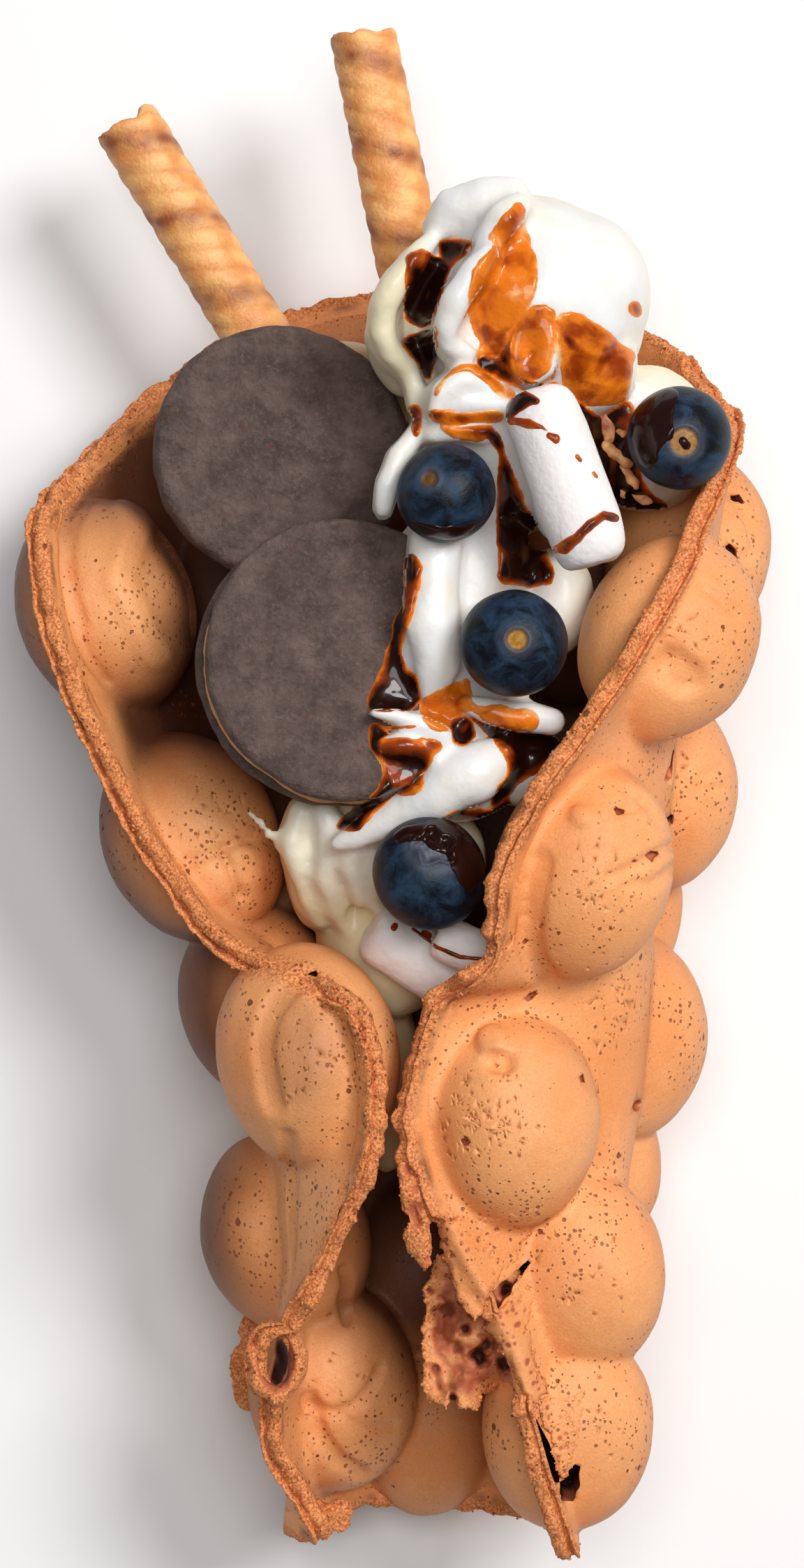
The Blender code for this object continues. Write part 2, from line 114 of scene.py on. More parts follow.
# The waffle. One sheet of batter, baked between two irons into rows of hollow egg shaped bubbles,
# then rolled while soft into an open cone. The bubbles stand out to both sides of the sheet.
SHIFT = Vector((1.3, 0.2, -2.6))
FLOOR_HEIGHT = 2.6
SHEET_HALF = 1.5
SHEET_STEPS = 170
SHEET_PULL_IN = 0.0055
SOFT_WAVES = ((0.45, 11, 3), (0.2, 5, 4))
WAFFLE_VOXEL = 0.78
WAFFLE_TRIANGLES = 196000
CUT_TRIANGLES = 33000
ABOVE_ALL = 120.0
RIM_CORNER = 0.02

# Sections of the rolled sheet from the tip to the mouth: height of the left rim and of the right
# rim, how far the back stands above them, and the places (X, Z) from the left rim to the right.
SHEET_SECTIONS = (
    (-124, -126, 3, ((-13, 47), (-18, 36), (-12, 22), (5, 15.4), (20, 22), (27, 38), (27, 62))),
    (-108, -110, 4, ((-21, 51), (-17, 38), (-9, 24), (6, 15.2), (22, 22), (28.5, 39), (22, 67))),
    (-92, -92, 6, ((-20, 58), (-18, 42), (-12, 26), (6, 15.2), (25, 24), (31, 45), (17, 70))),
    (-74, -74, 8, ((-10, 67), (-19, 49), (-19, 29), (6, 15.2), (29, 25), (34, 50), (7, 71))),
    (-55, -55, 10, ((-4.5, 73), (-15.5, 56), (-21, 30), (6, 15.2), (32, 26), (36, 53), (1, 71))),
    (-36, -36, 13, ((-8, 72), (-19.5, 52), (-24, 26), (5, 15.5), (34, 24), (38, 55), (5, 73))),
    (-27, -29, 15, ((-28, 58), (-27, 43), (-22, 22), (4, 15.5), (35, 22), (39, 55), (13, 79))),
    (-8, -10, 18, ((-42.5, 56), (-37.5, 38), (-24, 18), (2, 15.5), (36, 20), (42, 54), (17, 82.5))),
    (15, 12, 22, ((-53.5, 57.5), (-46, 38), (-28, 15.8), (0, 15.5), (38, 18.2), (45, 50), (31, 84))),
    (32, 30, 27, ((-58.5, 57), (-51, 37), (-31, 15.4), (-1, 15.5), (39, 18), (50, 46), (42, 81.5))),
    (43, 56, 34, ((-60, 53), (-53, 35), (-33, 17), (-1, 16), (39, 17), (53, 40), (54, 62))),
)
SECTION_POINTS = 7

# Each bubble: place across the sheet (0 left rim, 1 right rim), place along it (0 tip, 1 mouth),
# turn in the sheet in degrees, and size against the usual bubble.
BUBBLE_LENGTH = 34.0
BUBBLE_WIDTH = 27.6
BUBBLES = (
    (0.916, 0.848, 0, 1.03), (0.922, 0.673, 0, 1.04), (0.930, 0.398, 0, 1.04), (0.894, 0.120, 0, 1.04),
    (0.763, 0.883, 0, 1.01), (0.742, 0.695, 0, 1.03), (0.717, 0.431, 0, 1.05), (0.872, 0.257, 0, 1.01),
    (0.658, 0.545, 0, 1.02), (0.667, 0.315, 0, 1.03), (0.160, 0.850, 8, 1.08), (0.166, 0.677, 0, 1.08),
    (0.291, 0.456, 0, 0.98), (0.151, 0.441, 0, 1.09), (0.282, 0.268, 0, 1.03), (0.292, 0.125, 0, 1.05),
    (0.483, 0.074, 0, 0.92), (0.333, 0.800, 0, 0.98), (0.333, 0.620, 0, 0.98), (0.480, 0.905, 0, 0.98),
    (0.480, 0.735, 0, 0.99), (0.480, 0.565, 0, 0.99), (0.475, 0.390, 0, 0.98), (0.475, 0.215, 0, 0.95),
    (0.625, 0.790, 0, 0.98),
)

# Creases and dents that show from above: the path (X, Y) that each follows, its half width and
# its depth, with a negative depth for what stands up.
CREASES = (
    (((-15.2, -31.3), (-17.8, -32.6), (-20.5, -35.3), (-22.1, -38.5), (-22.6, -42.7), (-21.8, -47.5),
     (-20.8, -51.8)), 1.4, 0.75),
    (((-18.4, -38.0), (-19.2, -43.0), (-18.8, -49.0)), 3.2, 0.55),
    (((14.4, -41.3), (14.6, -41.6)), 2.0, -1.3),
    (((14.6, -44.2), (16.2, -44.6)), 1.5, 1.5),
    (((28.3, -5.0), (28.7, -5.3)), 1.4, -0.9),
    (((34.5, -4.4), (38.5, -3.0)), 0.9, 0.6),
    (((36.0, -1.2), (39.0, -3.0), (40.8, -6.0)), 0.7, 0.4),
    (((33.0, -14.8), (37.5, -13.2), (39.9, -11.5), (44.5, -9.6)), 0.8, 0.8),
    (((35.8, -16.0), (40.0, -16.0), (44.2, -13.2)), 0.8, 0.6),
    (((22.0, -12.6), (20.9, -18.4), (20.2, -24.5), (21.3, -29.0), (23.2, -31.0)), 1.7, 0.8),
    (((50.0, 1.2), (53.2, 2.9)), 0.7, 0.45),
    (((49.0, -0.8), (53.0, -0.6)), 0.7, 0.45),
    (((44.4, -7.6), (52.0, -7.3)), 0.7, 0.45),
    (((44.4, -9.6), (48.0, -9.7), (51.0, -11.0)), 0.7, 0.6),
    (((43.4, 18.6), (45.2, 17.0)), 2.6, 1.5),
    (((48.4, 31.4), (51.0, 29.8), (53.6, 27.4)), 0.8, 0.7),
    (((41.0, 22.5), (42.0, 19.5)), 1.2, 0.5),
    (((54.9, 47.8), (56.6, 45.6), (58.0, 43.0), (58.6, 40.4)), 0.8, 0.6),
    (((56.8, 37.6), (58.6, 38.8)), 0.9, 0.5),
    (((-15.4, -103.7), (-11.3, -104.5), (-8.0, -103.4), (-5.2, -100.7), (-3.6, -97.4)), 0.8, 0.9),
    (((-15.3, -102.4), (-13.7, -108.4), (-10.7, -112.8), (-6.9, -115.5)), 1.2, 1.2),
    (((-10.0, -105.0), (-6.5, -107.5), (-1.5, -107.3)), 0.8, 0.5),
    (((-9.6, -80.8), (-9.0, -83.4), (-9.8, -86.2), (-9.2, -89.5)), 0.8, 0.9),
    (((-12.5, -84.5), (-9.8, -84.0)), 0.7, 0.5),
    (((-18.6, -57.0), (-18.4, -66.0), (-18.8, -76.0), (-20.0, -83.0)), 1.1, 0.9),
    (((-53.0, 48.5), (-55.5, 43.8), (-56.2, 39.7), (-56.1, 35.6), (-55.3, 30.5), (-53.7, 25.3),
     (-51.4, 20.7), (-48.9, 17.1)), 0.7, 0.6),
    (((-51.4, 47.6), (-54.0, 43.0), (-54.7, 39.2), (-54.6, 35.4), (-53.8, 30.8), (-52.2, 26.0)),
     0.7, 0.45),
    (((-45.3, 45.4), (-43.7, 41.2), (-46.1, 33.5), (-43.2, 28.4), (-40.6, 21.7)), 2.4, -0.8),
    (((-40.1, 36.6), (-38.4, 32.6), (-36.8, 28.4)), 4.6, 1.1),
    (((-35.0, -12.8), (-31.6, -11.8), (-28.8, -10.2), (-24.7, -9.2)), 0.8, 0.7),
    (((-29.2, -11.3), (-28.0, -14.8), (-26.6, -18.6)), 0.8, 0.9),
    (((-31.6, -15.4), (-31.0, -16.4)), 2.8, -0.6),
    (((-25.6, -12.8), (-25.0, -13.8)), 2.8, -0.6),
    (((-52.0, 14.6), (-49.4, 13.0)), 1.4, 0.8),
)

# Deep hollows through the rim's loop and a broken bubble: middle, half sizes and turn in degrees.
HOLES = (
    ((-20.6, -94.5, 56), (2.3, 4.3, 7.0), 0),
    ((38.6, -53.0, 49), (1.7, 1.1, 3.5), 0),
)

# Tears and broken notches in the skin that faces up. Each has the places (X, Y, half width) that
# it runs through and how deep it goes.
TEARS = (
    (((12.2, -87.0, 1.9), (14.2, -83.9, 1.6), (16.2, -81.8, 1.2), (18.0, -80.2, 0.8), (20.6, -77.4, 0.3)),
     12.0),
    (((28.5, -110.7, 0.5), (27.2, -113.5, 1.8), (26.8, -116.9, 1.2)), 14.0),
    (((21.4, -102.8, 0.5), (22.4, -106.7, 1.2), (24.1, -110.5, 1.3), (25.6, -113.5, 0.8)), 14.0),
    (((-16.6, -32.3, 0.25), (-15.2, -31.4, 0.7), (-13.8, -30.4, 0.35)), 3.0),
    (((-8.3, -65.6, 0.3), (-9.4, -69.4, 0.8), (-10.6, -73.0, 0.9), (-11.8, -75.8, 0.3)), 4.0),
    (((44.7, 5.6, 0.15), (44.3, 3.0, 0.35), (43.8, 1.0, 0.75), (43.2, 0.4, 0.4)), 2.4),
    (((43.2, -6.8, 0.5), (44.1, -6.2, 1.1), (44.6, -5.0, 0.2)), 2.4),
    (((33.9, -3.8, 0.3), (34.4, -4.4, 0.65), (35.4, -4.4, 0.25)), 1.4),
    (((39.3, -12.0, 0.8), (40.0, -11.2, 0.7), (41.0, -11.0, 0.2)), 1.4),
    (((36.6, -12.4, 0.25), (37.2, -12.2, 0.25)), 0.9),
    (((54.6, 47.6, 0.3), (55.8, 47.6, 0.8), (56.6, 46.8, 0.3)), 2.0),
    (((53.8, 39.6, 0.5), (54.6, 38.4, 0.8), (55.2, 37.2, 0.4)), 2.4),
    (((20.0, -35.0, 0.3), (20.8, -34.3, 0.55), (21.7, -33.7, 0.3)), 1.2),
    (((16.6, -25.8, 0.3), (17.2, -24.9, 0.4), (17.6, -24.0, 0.2)), 0.9),
    (((19.4, -25.6, 0.25), (19.9, -24.8, 0.35)), 0.9),
    (((13.4, -27.8, 0.2), (14.2, -27.0, 0.3), (14.9, -26.5, 0.2)), 0.8),
    (((22.0, -23.0, 0.2), (22.4, -22.2, 0.3)), 0.7),
    (((9.6, -57.5, 0.5), (10.2, -57.2, 0.7), (10.8, -57.6, 0.3)), 1.3),
    (((28.6, -47.6, 0.5), (29.3, -47.4, 0.6)), 1.2),
    (((8.0, -34.2, 0.5), (8.4, -34.6, 0.6)), 0.9),
)

# Pitted patches where many bubbles of air broke: middle (X, Y), half sizes, and number of pits.
PITTED = (
    ((13.0, -54.0), (7.0, 5.0), 70), ((14.0, -49.0), (8.0, 7.0), 14), ((12.5, -72.5), (6.5, 3.5), 44),
    ((31.0, -14.0), (6.0, 9.0), 24), ((35.0, -33.0), (4.5, 4.5), 26), ((33.0, -42.0), (3.5, 5.0), 8),
    ((44.0, -2.0), (6.0, 9.0), 14), ((43.5, 22.0), (5.5, 6.0), 24), ((28.5, -82.0), (6.0, 10.0), 12),
    ((-29.0, -6.0), (6.0, 9.0), 16), ((-43.0, 28.0), (7.0, 10.0), 14), ((-14.5, -44.0), (7.0, 9.0), 16),
    ((-47.5, -12.0), (5.5, 9.0), 22), ((29.0, -103.0), (8.0, 10.0), 14), ((-10.0, -97.0), (7.0, 8.0), 10),
    ((17.5, -26.0), (6.0, 5.0), 12),
)
PIT_SMALLEST = 0.08
PIT_LARGEST = 0.26
PIT_SHARE = 1.5


def section_grid():
    """Places of the sections, with one more on each side so that curves reach the edges."""
    grid = np.zeros((len(SHEET_SECTIONS), SECTION_POINTS, 3))
    for row, (left, right, rise, places) in enumerate(SHEET_SECTIONS):
        for column, (x, z) in enumerate(places):
            across = column / (SECTION_POINTS - 1)
            y = left + (right - left) * across + rise * math.sin(math.pi * across) ** 2
            grid[row, column] = (x, y, z)
    grid = np.concatenate([2 * grid[:1] - grid[1:2], grid, 2 * grid[-1:] - grid[-2:-1]])
    first = 2 * grid[:, :1] - grid[:, 1:2]
    last = 2 * grid[:, -1:] - grid[:, -2:-1]
    return np.concatenate([first, grid, last], axis=1)


SECTION_GRID = section_grid()


def curve_weights(t):
    """Weights of four neighbouring places for a smooth curve that passes through them."""
    return np.array([
        -0.5 * t ** 3 + t ** 2 - 0.5 * t,
        1.5 * t ** 3 - 2.5 * t ** 2 + 1.0,
        -1.5 * t ** 3 + 2.0 * t ** 2 + 0.5 * t,
        0.5 * t ** 3 - 0.5 * t ** 2,
    ])


def sheet_places(across, along):
    """Places on the middle of the sheet, for arrays of places across it and along it."""
    columns = np.asarray(across) * (SECTION_POINTS - 1)
    rows = np.asarray(along) * (len(SHEET_SECTIONS) - 1)
    column = np.clip(np.floor(columns), 0, SECTION_POINTS - 2).astype(int)
    row = np.clip(np.floor(rows), 0, len(SHEET_SECTIONS) - 2).astype(int)
    across_weights = curve_weights(columns - column)
    along_weights = curve_weights(rows - row)
    places = np.zeros(column.shape + (3,))
    for i in range(4):
        for j in range(4):
            weight = along_weights[i] * across_weights[j]
            places += weight[..., None] * SECTION_GRID[row + i, column + j]
    return places


def limit(values):
    """Values held between 0 and 1."""
    return np.clip(values, 0, 1)


def smooth(share):
    """A share from 0 to 1, eased at both ends."""
    return share * share * (3 - 2 * share)


def unit(vectors):
    return vectors / np.linalg.norm(vectors, axis=-1, keepdims=True)


def sheet_axes(across, along):
    """Long axis, cross axis and inward normal of the sheet."""
    step = 0.004
    along_axis = unit(sheet_places(across, along + step) - sheet_places(across, along - step))
    cross = sheet_places(across + step, along) - sheet_places(across - step, along)
    normal = unit(np.cross(cross, along_axis))
    return along_axis, np.cross(along_axis, normal), normal


def wobble(places, size, seed):
    """Smooth random field from -1 to 1, with bumps about one size across."""
    scaled = np.asarray(places) / size + seed * 17.31
    cell = np.floor(scaled).astype(np.int64)
    share = smooth(scaled - cell)
    total = np.zeros(len(scaled))
    for corner in range(8):
        offset = np.array([corner & 1, corner >> 1 & 1, corner >> 2 & 1])
        at = cell + offset
        mixed = at[:, 0] * 73856093 ^ at[:, 1] * 19349663 ^ at[:, 2] * 83492791 ^ seed * 2654435
        mixed = (mixed ^ (mixed >> 13)) * 1274126177
        value = ((mixed ^ (mixed >> 16)) & 0xFFFF) / 32767.5 - 1
        total += value * np.prod(np.where(offset, share, 1 - share), axis=1)
    return total


def waves(places, *fields):
    """The sum of random fields, each with its height, size and seed."""
    return sum(height * wobble(places, size, seed) for height, size, seed in fields)


def mesh_object(name, places, faces):
    mesh = bpy.data.meshes.new(name)
    mesh.from_pydata(places.tolist(), [], faces if isinstance(faces, list) else faces.tolist())
    mesh.update()
    return add_object(name, mesh)


def flat_grid(first, second):
    """Every pair of two rows of values, as two flat arrays."""
    first, second = np.meshgrid(first, second, indexing="ij")
    return first.ravel(), second.ravel()


def grid_faces(rows, columns, closed_across=False, closed_along=False):
    """Quads of a grid of places that is stored row by row."""
    row, column = flat_grid(np.arange(rows - (not closed_along)),
                            np.arange(columns - (not closed_across)))
    next_row, next_column = (row + 1) % rows, (column + 1) % columns
    return np.stack([row * columns + column, row * columns + next_column,
                     next_row * columns + next_column, next_row * columns + column], axis=1)


def freeze(obj):
    """Replace an object's mesh by what its modifiers make of it."""
    depsgraph = bpy.context.evaluated_depsgraph_get()
    mesh = bpy.data.meshes.new_from_object(obj.evaluated_get(depsgraph))
    obj.modifiers.clear()
    obj.data = mesh


def join(first, others):
    """Add other objects' meshes to the first object's mesh."""
    bm = bmesh.new()
    for obj in [first] + others:
        bm.from_mesh(obj.data)
    bm.to_mesh(first.data)
    bm.free()
    for obj in others:
        bpy.data.objects.remove(obj, do_unlink=True)


def places_of(obj):
    places = np.zeros(len(obj.data.vertices) * 3, np.float32)
    obj.data.vertices.foreach_get("co", places)
    return places.reshape(-1, 3).astype(float)


def normals_of(obj):
    normals = np.zeros(len(obj.data.vertices) * 3, np.float32)
    obj.data.vertex_normals.foreach_get("vector", normals)
    return normals.reshape(-1, 3).astype(float)


def set_places(obj, places):
    obj.data.vertices.foreach_set("co", places.astype(np.float32).ravel())
    obj.data.update()


def set_value(obj, name, values):
    """Keep a value for each place on the mesh, for its material to read."""
    attribute = obj.data.attributes.get(name) or obj.data.attributes.new(name, "FLOAT", "POINT")
    attribute.data.foreach_set("value", np.asarray(values).astype(np.float32))


def melt(obj, voxel, softness):
    """Fuse overlapping shapes into one skin and round off where they meet."""
    remesh = obj.modifiers.new("Melt", "REMESH")
    remesh.mode = "VOXEL"
    remesh.voxel_size = voxel
    soften = obj.modifiers.new("Soften", "SMOOTH")
    soften.iterations = softness
    freeze(obj)


def thin_out(obj, triangles):
    """Keep at most so many triangles."""
    have = sum(len(face.vertices) - 2 for face in obj.data.polygons)
    if have > triangles:
        decimate = obj.modifiers.new("Fewer", "DECIMATE")
        decimate.ratio = triangles / have
        freeze(obj)


def add_ellipsoid(name, middle, half_sizes, turn, sides, rings, axes=None):
    bm = bmesh.new()
    bmesh.ops.create_uvsphere(bm, u_segments=sides, v_segments=rings, radius=1.0)
    bmesh.ops.scale(bm, vec=half_sizes, verts=bm.verts)
    if axes is not None:
        bmesh.ops.transform(bm, matrix=Matrix(axes).transposed().to_4x4(), verts=bm.verts)
    matrix = Matrix.Translation(middle) @ Matrix.Rotation(math.radians(turn), 4, "Z")
    bmesh.ops.transform(bm, matrix=matrix, verts=bm.verts)
    mesh = bpy.data.meshes.new(name)
    bm.to_mesh(mesh)
    bm.free()
    return add_object(name, mesh)


def path_distance(points, path):
    """Distance of flat points from a path whose places begin with X and Y."""
    distance = np.full(len(points), 1e9)
    for start, end in zip(path, path[1:]):
        start, end = np.array(start[:2], float), np.array(end[:2], float)
        run = end - start
        share = limit(((points - start) @ run) / (run @ run))
        distance = np.minimum(distance, np.linalg.norm(points - start - share[:, None] * run, axis=1))
    return distance


def press_creases(obj, creases):
    """Push creases and dents into the skin that faces up."""
    for path, width, depth in creases:
        places, normals = places_of(obj), normals_of(obj)
        reach = 2.2 * width
        low = np.min(path, axis=0) - reach
        high = np.max(path, axis=0) + reach
        near = np.all((places[:, :2] > low) & (places[:, :2] < high), axis=1) & (normals[:, 2] > 0.05)
        near = np.flatnonzero(near)
        if not len(near):
            continue
        top = places[near, 2].max()
        near = near[places[near, 2] > top - 16]
        distance = path_distance(places[near, :2], path)
        share = smooth(limit(1.6 - distance / width))
        places[near] -= normals[near] * (share * depth)[:, None]
        set_places(obj, places)


def set_down(obj):
    """Move a finished mesh to the object's own origin, in metres."""
    obj.data.transform(Matrix.Scale(0.001, 4) @ Matrix.Translation(SHIFT))
    obj.data.shade_smooth()


def cut_away(obj, cutters):
    """Cut closed shapes that stand apart out of a closed mesh."""
    join(cutters[0], cutters[1:])
    modifier = obj.modifiers.new("Cut", "BOOLEAN")
    modifier.operation = "DIFFERENCE"
    modifier.solver = "MANIFOLD"
    modifier.object = cutters[0]
    freeze(obj)
    bpy.data.objects.remove(cutters[0], do_unlink=True)


def surface_tree(shapes):
    """One searchable surface of several shapes, each given as its places and faces."""
    places, faces = [], []
    for shape_places, shape_faces in shapes:
        start = len(places)
        places += shape_places.tolist()
        faces += [tuple(index + start for index in face) for face in shape_faces]
    return BVHTree.FromPolygons(places, faces)


def shape_of(obj):
    return places_of(obj), [tuple(face.vertices) for face in obj.data.polygons]


def top_at(tree, x, y, missing=None):
    """Height of the surface that is seen from above, or another value where there is none."""
    hit = tree.ray_cast((x, y, ABOVE_ALL), (0, 0, -1))[0]
    return missing if hit is None else hit.z


def make_tear(name, tree, path, depth):
    """A ragged blade that follows a path over the surface."""
    path = np.array(path)
    run = np.gradient(path[:, :2], axis=0)
    side = unit(np.stack([-run[:, 1], run[:, 0]], axis=1))
    steps = np.linspace(0, len(path) - 1, 6 * len(path))
    middle = np.stack([np.interp(steps, np.arange(len(path)), path[:, i]) for i in range(3)], axis=1)
    side = np.stack([np.interp(steps, np.arange(len(path)), side[:, i]) for i in range(2)], axis=1)
    flat = np.column_stack([middle[:, :2], np.zeros(len(middle))])
    spread = 0.35 * np.minimum(middle[:, 2], 1.0)
    left = middle[:, :2] + side * (middle[:, 2] + spread * wobble(flat, 1.1, 15))[:, None]
    right = middle[:, :2] - side * (middle[:, 2] + spread * wobble(flat, 1.1, 16))[:, None]
    outline = np.concatenate([left, right[::-1]])
    heights = np.array([top_at(tree, x, y, 40.0) for x, y in middle[:, :2]])
    heights = np.concatenate([heights, heights[::-1]])
    count = len(outline)
    low = np.column_stack([outline + 0.25 * (outline.mean(axis=0) - outline), heights - depth])
    below_skin = np.column_stack([outline, heights - min(0.9, depth / 3)])
    high = np.column_stack([outline, heights + 4])
    places = np.concatenate([high, below_skin, low])
    half = count // 2
    faces = []
    for i in range(count):
        j = (i + 1) % count
        faces.append((i, j, j + count, i + count))
        faces.append((i + count, j + count, j + 2 * count, i + 2 * count))
    for i in range(half - 1):
        j = count - 1 - i
        faces.append((i + 1, i, j, j - 1))
        faces.append((i + 2 * count, i + 1 + 2 * count, j - 1 + 2 * count, j + 2 * count))
    return mesh_object(name, places, faces)


def make_pits(tree):
    """Small round pits in the skin that faces up, none of them touching."""
    rng = random.Random(19)
    pits, taken = [], []
    for middle, half_sizes, number in PITTED:
        for _ in range(int(number * PIT_SHARE)):
            x = rng.gauss(middle[0], half_sizes[0] * 0.55)
            y = rng.gauss(middle[1], half_sizes[1] * 0.55)
            radius = PIT_SMALLEST + (PIT_LARGEST - PIT_SMALLEST) * rng.random() ** 2.5
            stretch = rng.uniform(1.0, 1.7)
            turn = rng.uniform(0, 180)
            z = top_at(tree, x, y)
            if z is None or any((x - a) ** 2 + (y - b) ** 2 < (radius * stretch + c + 0.1) ** 2
                                for a, b, c in taken):
                continue
            taken.append((x, y, radius * stretch))
            half = (radius, radius * stretch, 0.3 + 0.8 * radius)
            pits.append(add_ellipsoid("pit", (x, y, z), half, turn, 7, 6))
    return pits


def make_sheet():
    """The rolled sheet, with soft waves, as a closed slab."""
    steps = np.linspace(SHEET_PULL_IN, 1 - SHEET_PULL_IN, SHEET_STEPS)
    along, across = flat_grid(steps, steps)
    places = sheet_places(across, along)
    normal = sheet_axes(across, along)[2]
    places += normal * waves(places, *SOFT_WAVES)[:, None]
    count = len(places)
    outer = grid_faces(SHEET_STEPS, SHEET_STEPS)
    inner = outer[:, ::-1] + count
    last = SHEET_STEPS - 1
    ring = [(0, i) for i in range(last)] + [(i, last) for i in range(last)]
    ring += [(last, i) for i in range(last, 0, -1)] + [(i, 0) for i in range(last, 0, -1)]
    ring = np.array([row * SHEET_STEPS + column for row, column in ring])
    following = np.roll(ring, -1)
    wall = np.stack([following, ring, ring + count, following + count], axis=1)
    both = np.concatenate([places - normal * SHEET_HALF, places + normal * SHEET_HALF])
    return mesh_object("waffle_skin", both, np.concatenate([outer, inner, wall])), places, normal


def make_bubbles():
    bubbles = []
    for number, (across, along, turn, size) in enumerate(BUBBLES):
        place = sheet_places(np.array([across]), np.array([along]))[0]
        long_axis, _, normal = (axis[0] for axis in sheet_axes(np.array([across]), np.array([along])))
        long_axis = Matrix.Rotation(math.radians(turn), 3, Vector(normal)) @ Vector(long_axis)
        axes = (Vector(normal), Vector(normal).cross(-long_axis), long_axis)
        half_width = BUBBLE_WIDTH / 2 * size
        half_length = BUBBLE_LENGTH / 2 * size
        name = "bubble_%02d" % number
        half_sizes = (half_width, half_width, half_length)
        bubbles.append(add_ellipsoid(name, place, half_sizes, 0, 56, 40, axes))
    return bubbles


waffle_skin, sheet_middle, sheet_inward = make_sheet()
join(waffle_skin, make_bubbles())
melt(waffle_skin, WAFFLE_VOXEL, 3)
skin = places_of(waffle_skin)
bumps = waves(skin, (0.42, 13, 11), (0.20, 6, 12), (0.05, 2.2, 13))
set_places(waffle_skin, skin + normals_of(waffle_skin) * bumps[:, None])
press_creases(waffle_skin, CREASES)
skin = places_of(waffle_skin)
skin[:, 2] = np.maximum(skin[:, 2], FLOOR_HEIGHT)
set_places(waffle_skin, skin)
thin_out(waffle_skin, WAFFLE_TRIANGLES - CUT_TRIANGLES)
skin_tree = surface_tree([shape_of(waffle_skin)])
cutters = [add_ellipsoid("hole_%d" % i, *hole, 14, 10) for i, hole in enumerate(HOLES)]
cutters += [make_tear("tear_%d" % i, skin_tree, *tear) for i, tear in enumerate(TEARS)]
cutters += make_pits(skin_tree)
cut_away(waffle_skin, cutters)


def add_node(tree, kind, inputs=None, **settings):
    """Add a node, with its settings, and with values or sockets for its inputs."""
    node = tree.nodes.new(kind)
    for name, value in settings.items():
        setattr(node, name, value)
    for name, value in (inputs or {}).items():
        if isinstance(value, bpy.types.NodeSocket):
            tree.links.new(value, node.inputs[name])
        else:
            node.inputs[name].default_value = value
    return node


def calculate(tree, operation, first, second=0.0, third=0.0):
    node = add_node(tree, "ShaderNodeMath", {0: first, 1: second, 2: third}, operation=operation)
    return node.outputs[0]


def blend(tree, share, first, second):
    """The first colour, turned towards the second by a share."""
    return add_node(tree, "ShaderNodeMix", {0: share, 6: first, 7: second}, data_type="RGBA").outputs[2]


def step_between(tree, value, low, high):
    """0 below low, 1 above high, and a smooth step between."""
    node = add_node(tree, "ShaderNodeMapRange", {"Value": value, "From Min": low, "From Max": high},
                    interpolation_type="SMOOTHSTEP")
    return node.outputs["Result"]


def srgb(*seen):
    """A colour given as it is seen, from 0 to 255, as the shader's linear values."""
    return (*[((value / 255 + 0.055) / 1.055) ** 2.4 if value > 10 else value / 3294 for value in seen], 1.0)


def object_place(tree):
    return tree.nodes.new("ShaderNodeTexCoord").outputs["Object"]


def noise(tree, place, scale, detail, roughness=0.5, distortion=0.0):
    """Cloudy noise from 0 to 1."""
    node = add_node(tree, "ShaderNodeTexNoise", {"Vector": place, "Scale": scale, "Detail": detail,
                                                 "Roughness": roughness, "Distortion": distortion})
    return node.outputs["Fac"]


def group_tree(name, inputs, outputs):
    """An empty shader node group with number inputs and outputs."""
    tree = bpy.data.node_groups.new(name, "ShaderNodeTree")
    for socket_name, value in inputs.items():
        socket = tree.interface.new_socket(socket_name, in_out="INPUT", socket_type="NodeSocketFloat")
        socket.default_value = value
    for socket_name in outputs:
        tree.interface.new_socket(socket_name, in_out="OUTPUT", socket_type="NodeSocketFloat")
    return tree, tree.nodes.new("NodeGroupInput"), tree.nodes.new("NodeGroupOutput")


def scattered_pores(tree, place, scale, channel, rarity, size, edge):
    """Round pores of random size at random places: 1 inside, 0 outside."""
    cells = add_node(tree, "ShaderNodeTexVoronoi", {"Vector": place, "Scale": scale})
    chance = add_node(tree, "ShaderNodeSeparateColor", {"Color": cells.outputs["Color"]}).outputs[channel]
    radius = calculate(tree, "MULTIPLY", calculate(tree, "POWER", chance, rarity), size)
    return step_between(tree, calculate(tree, "SUBTRACT", radius, cells.outputs["Distance"]), -edge, edge)


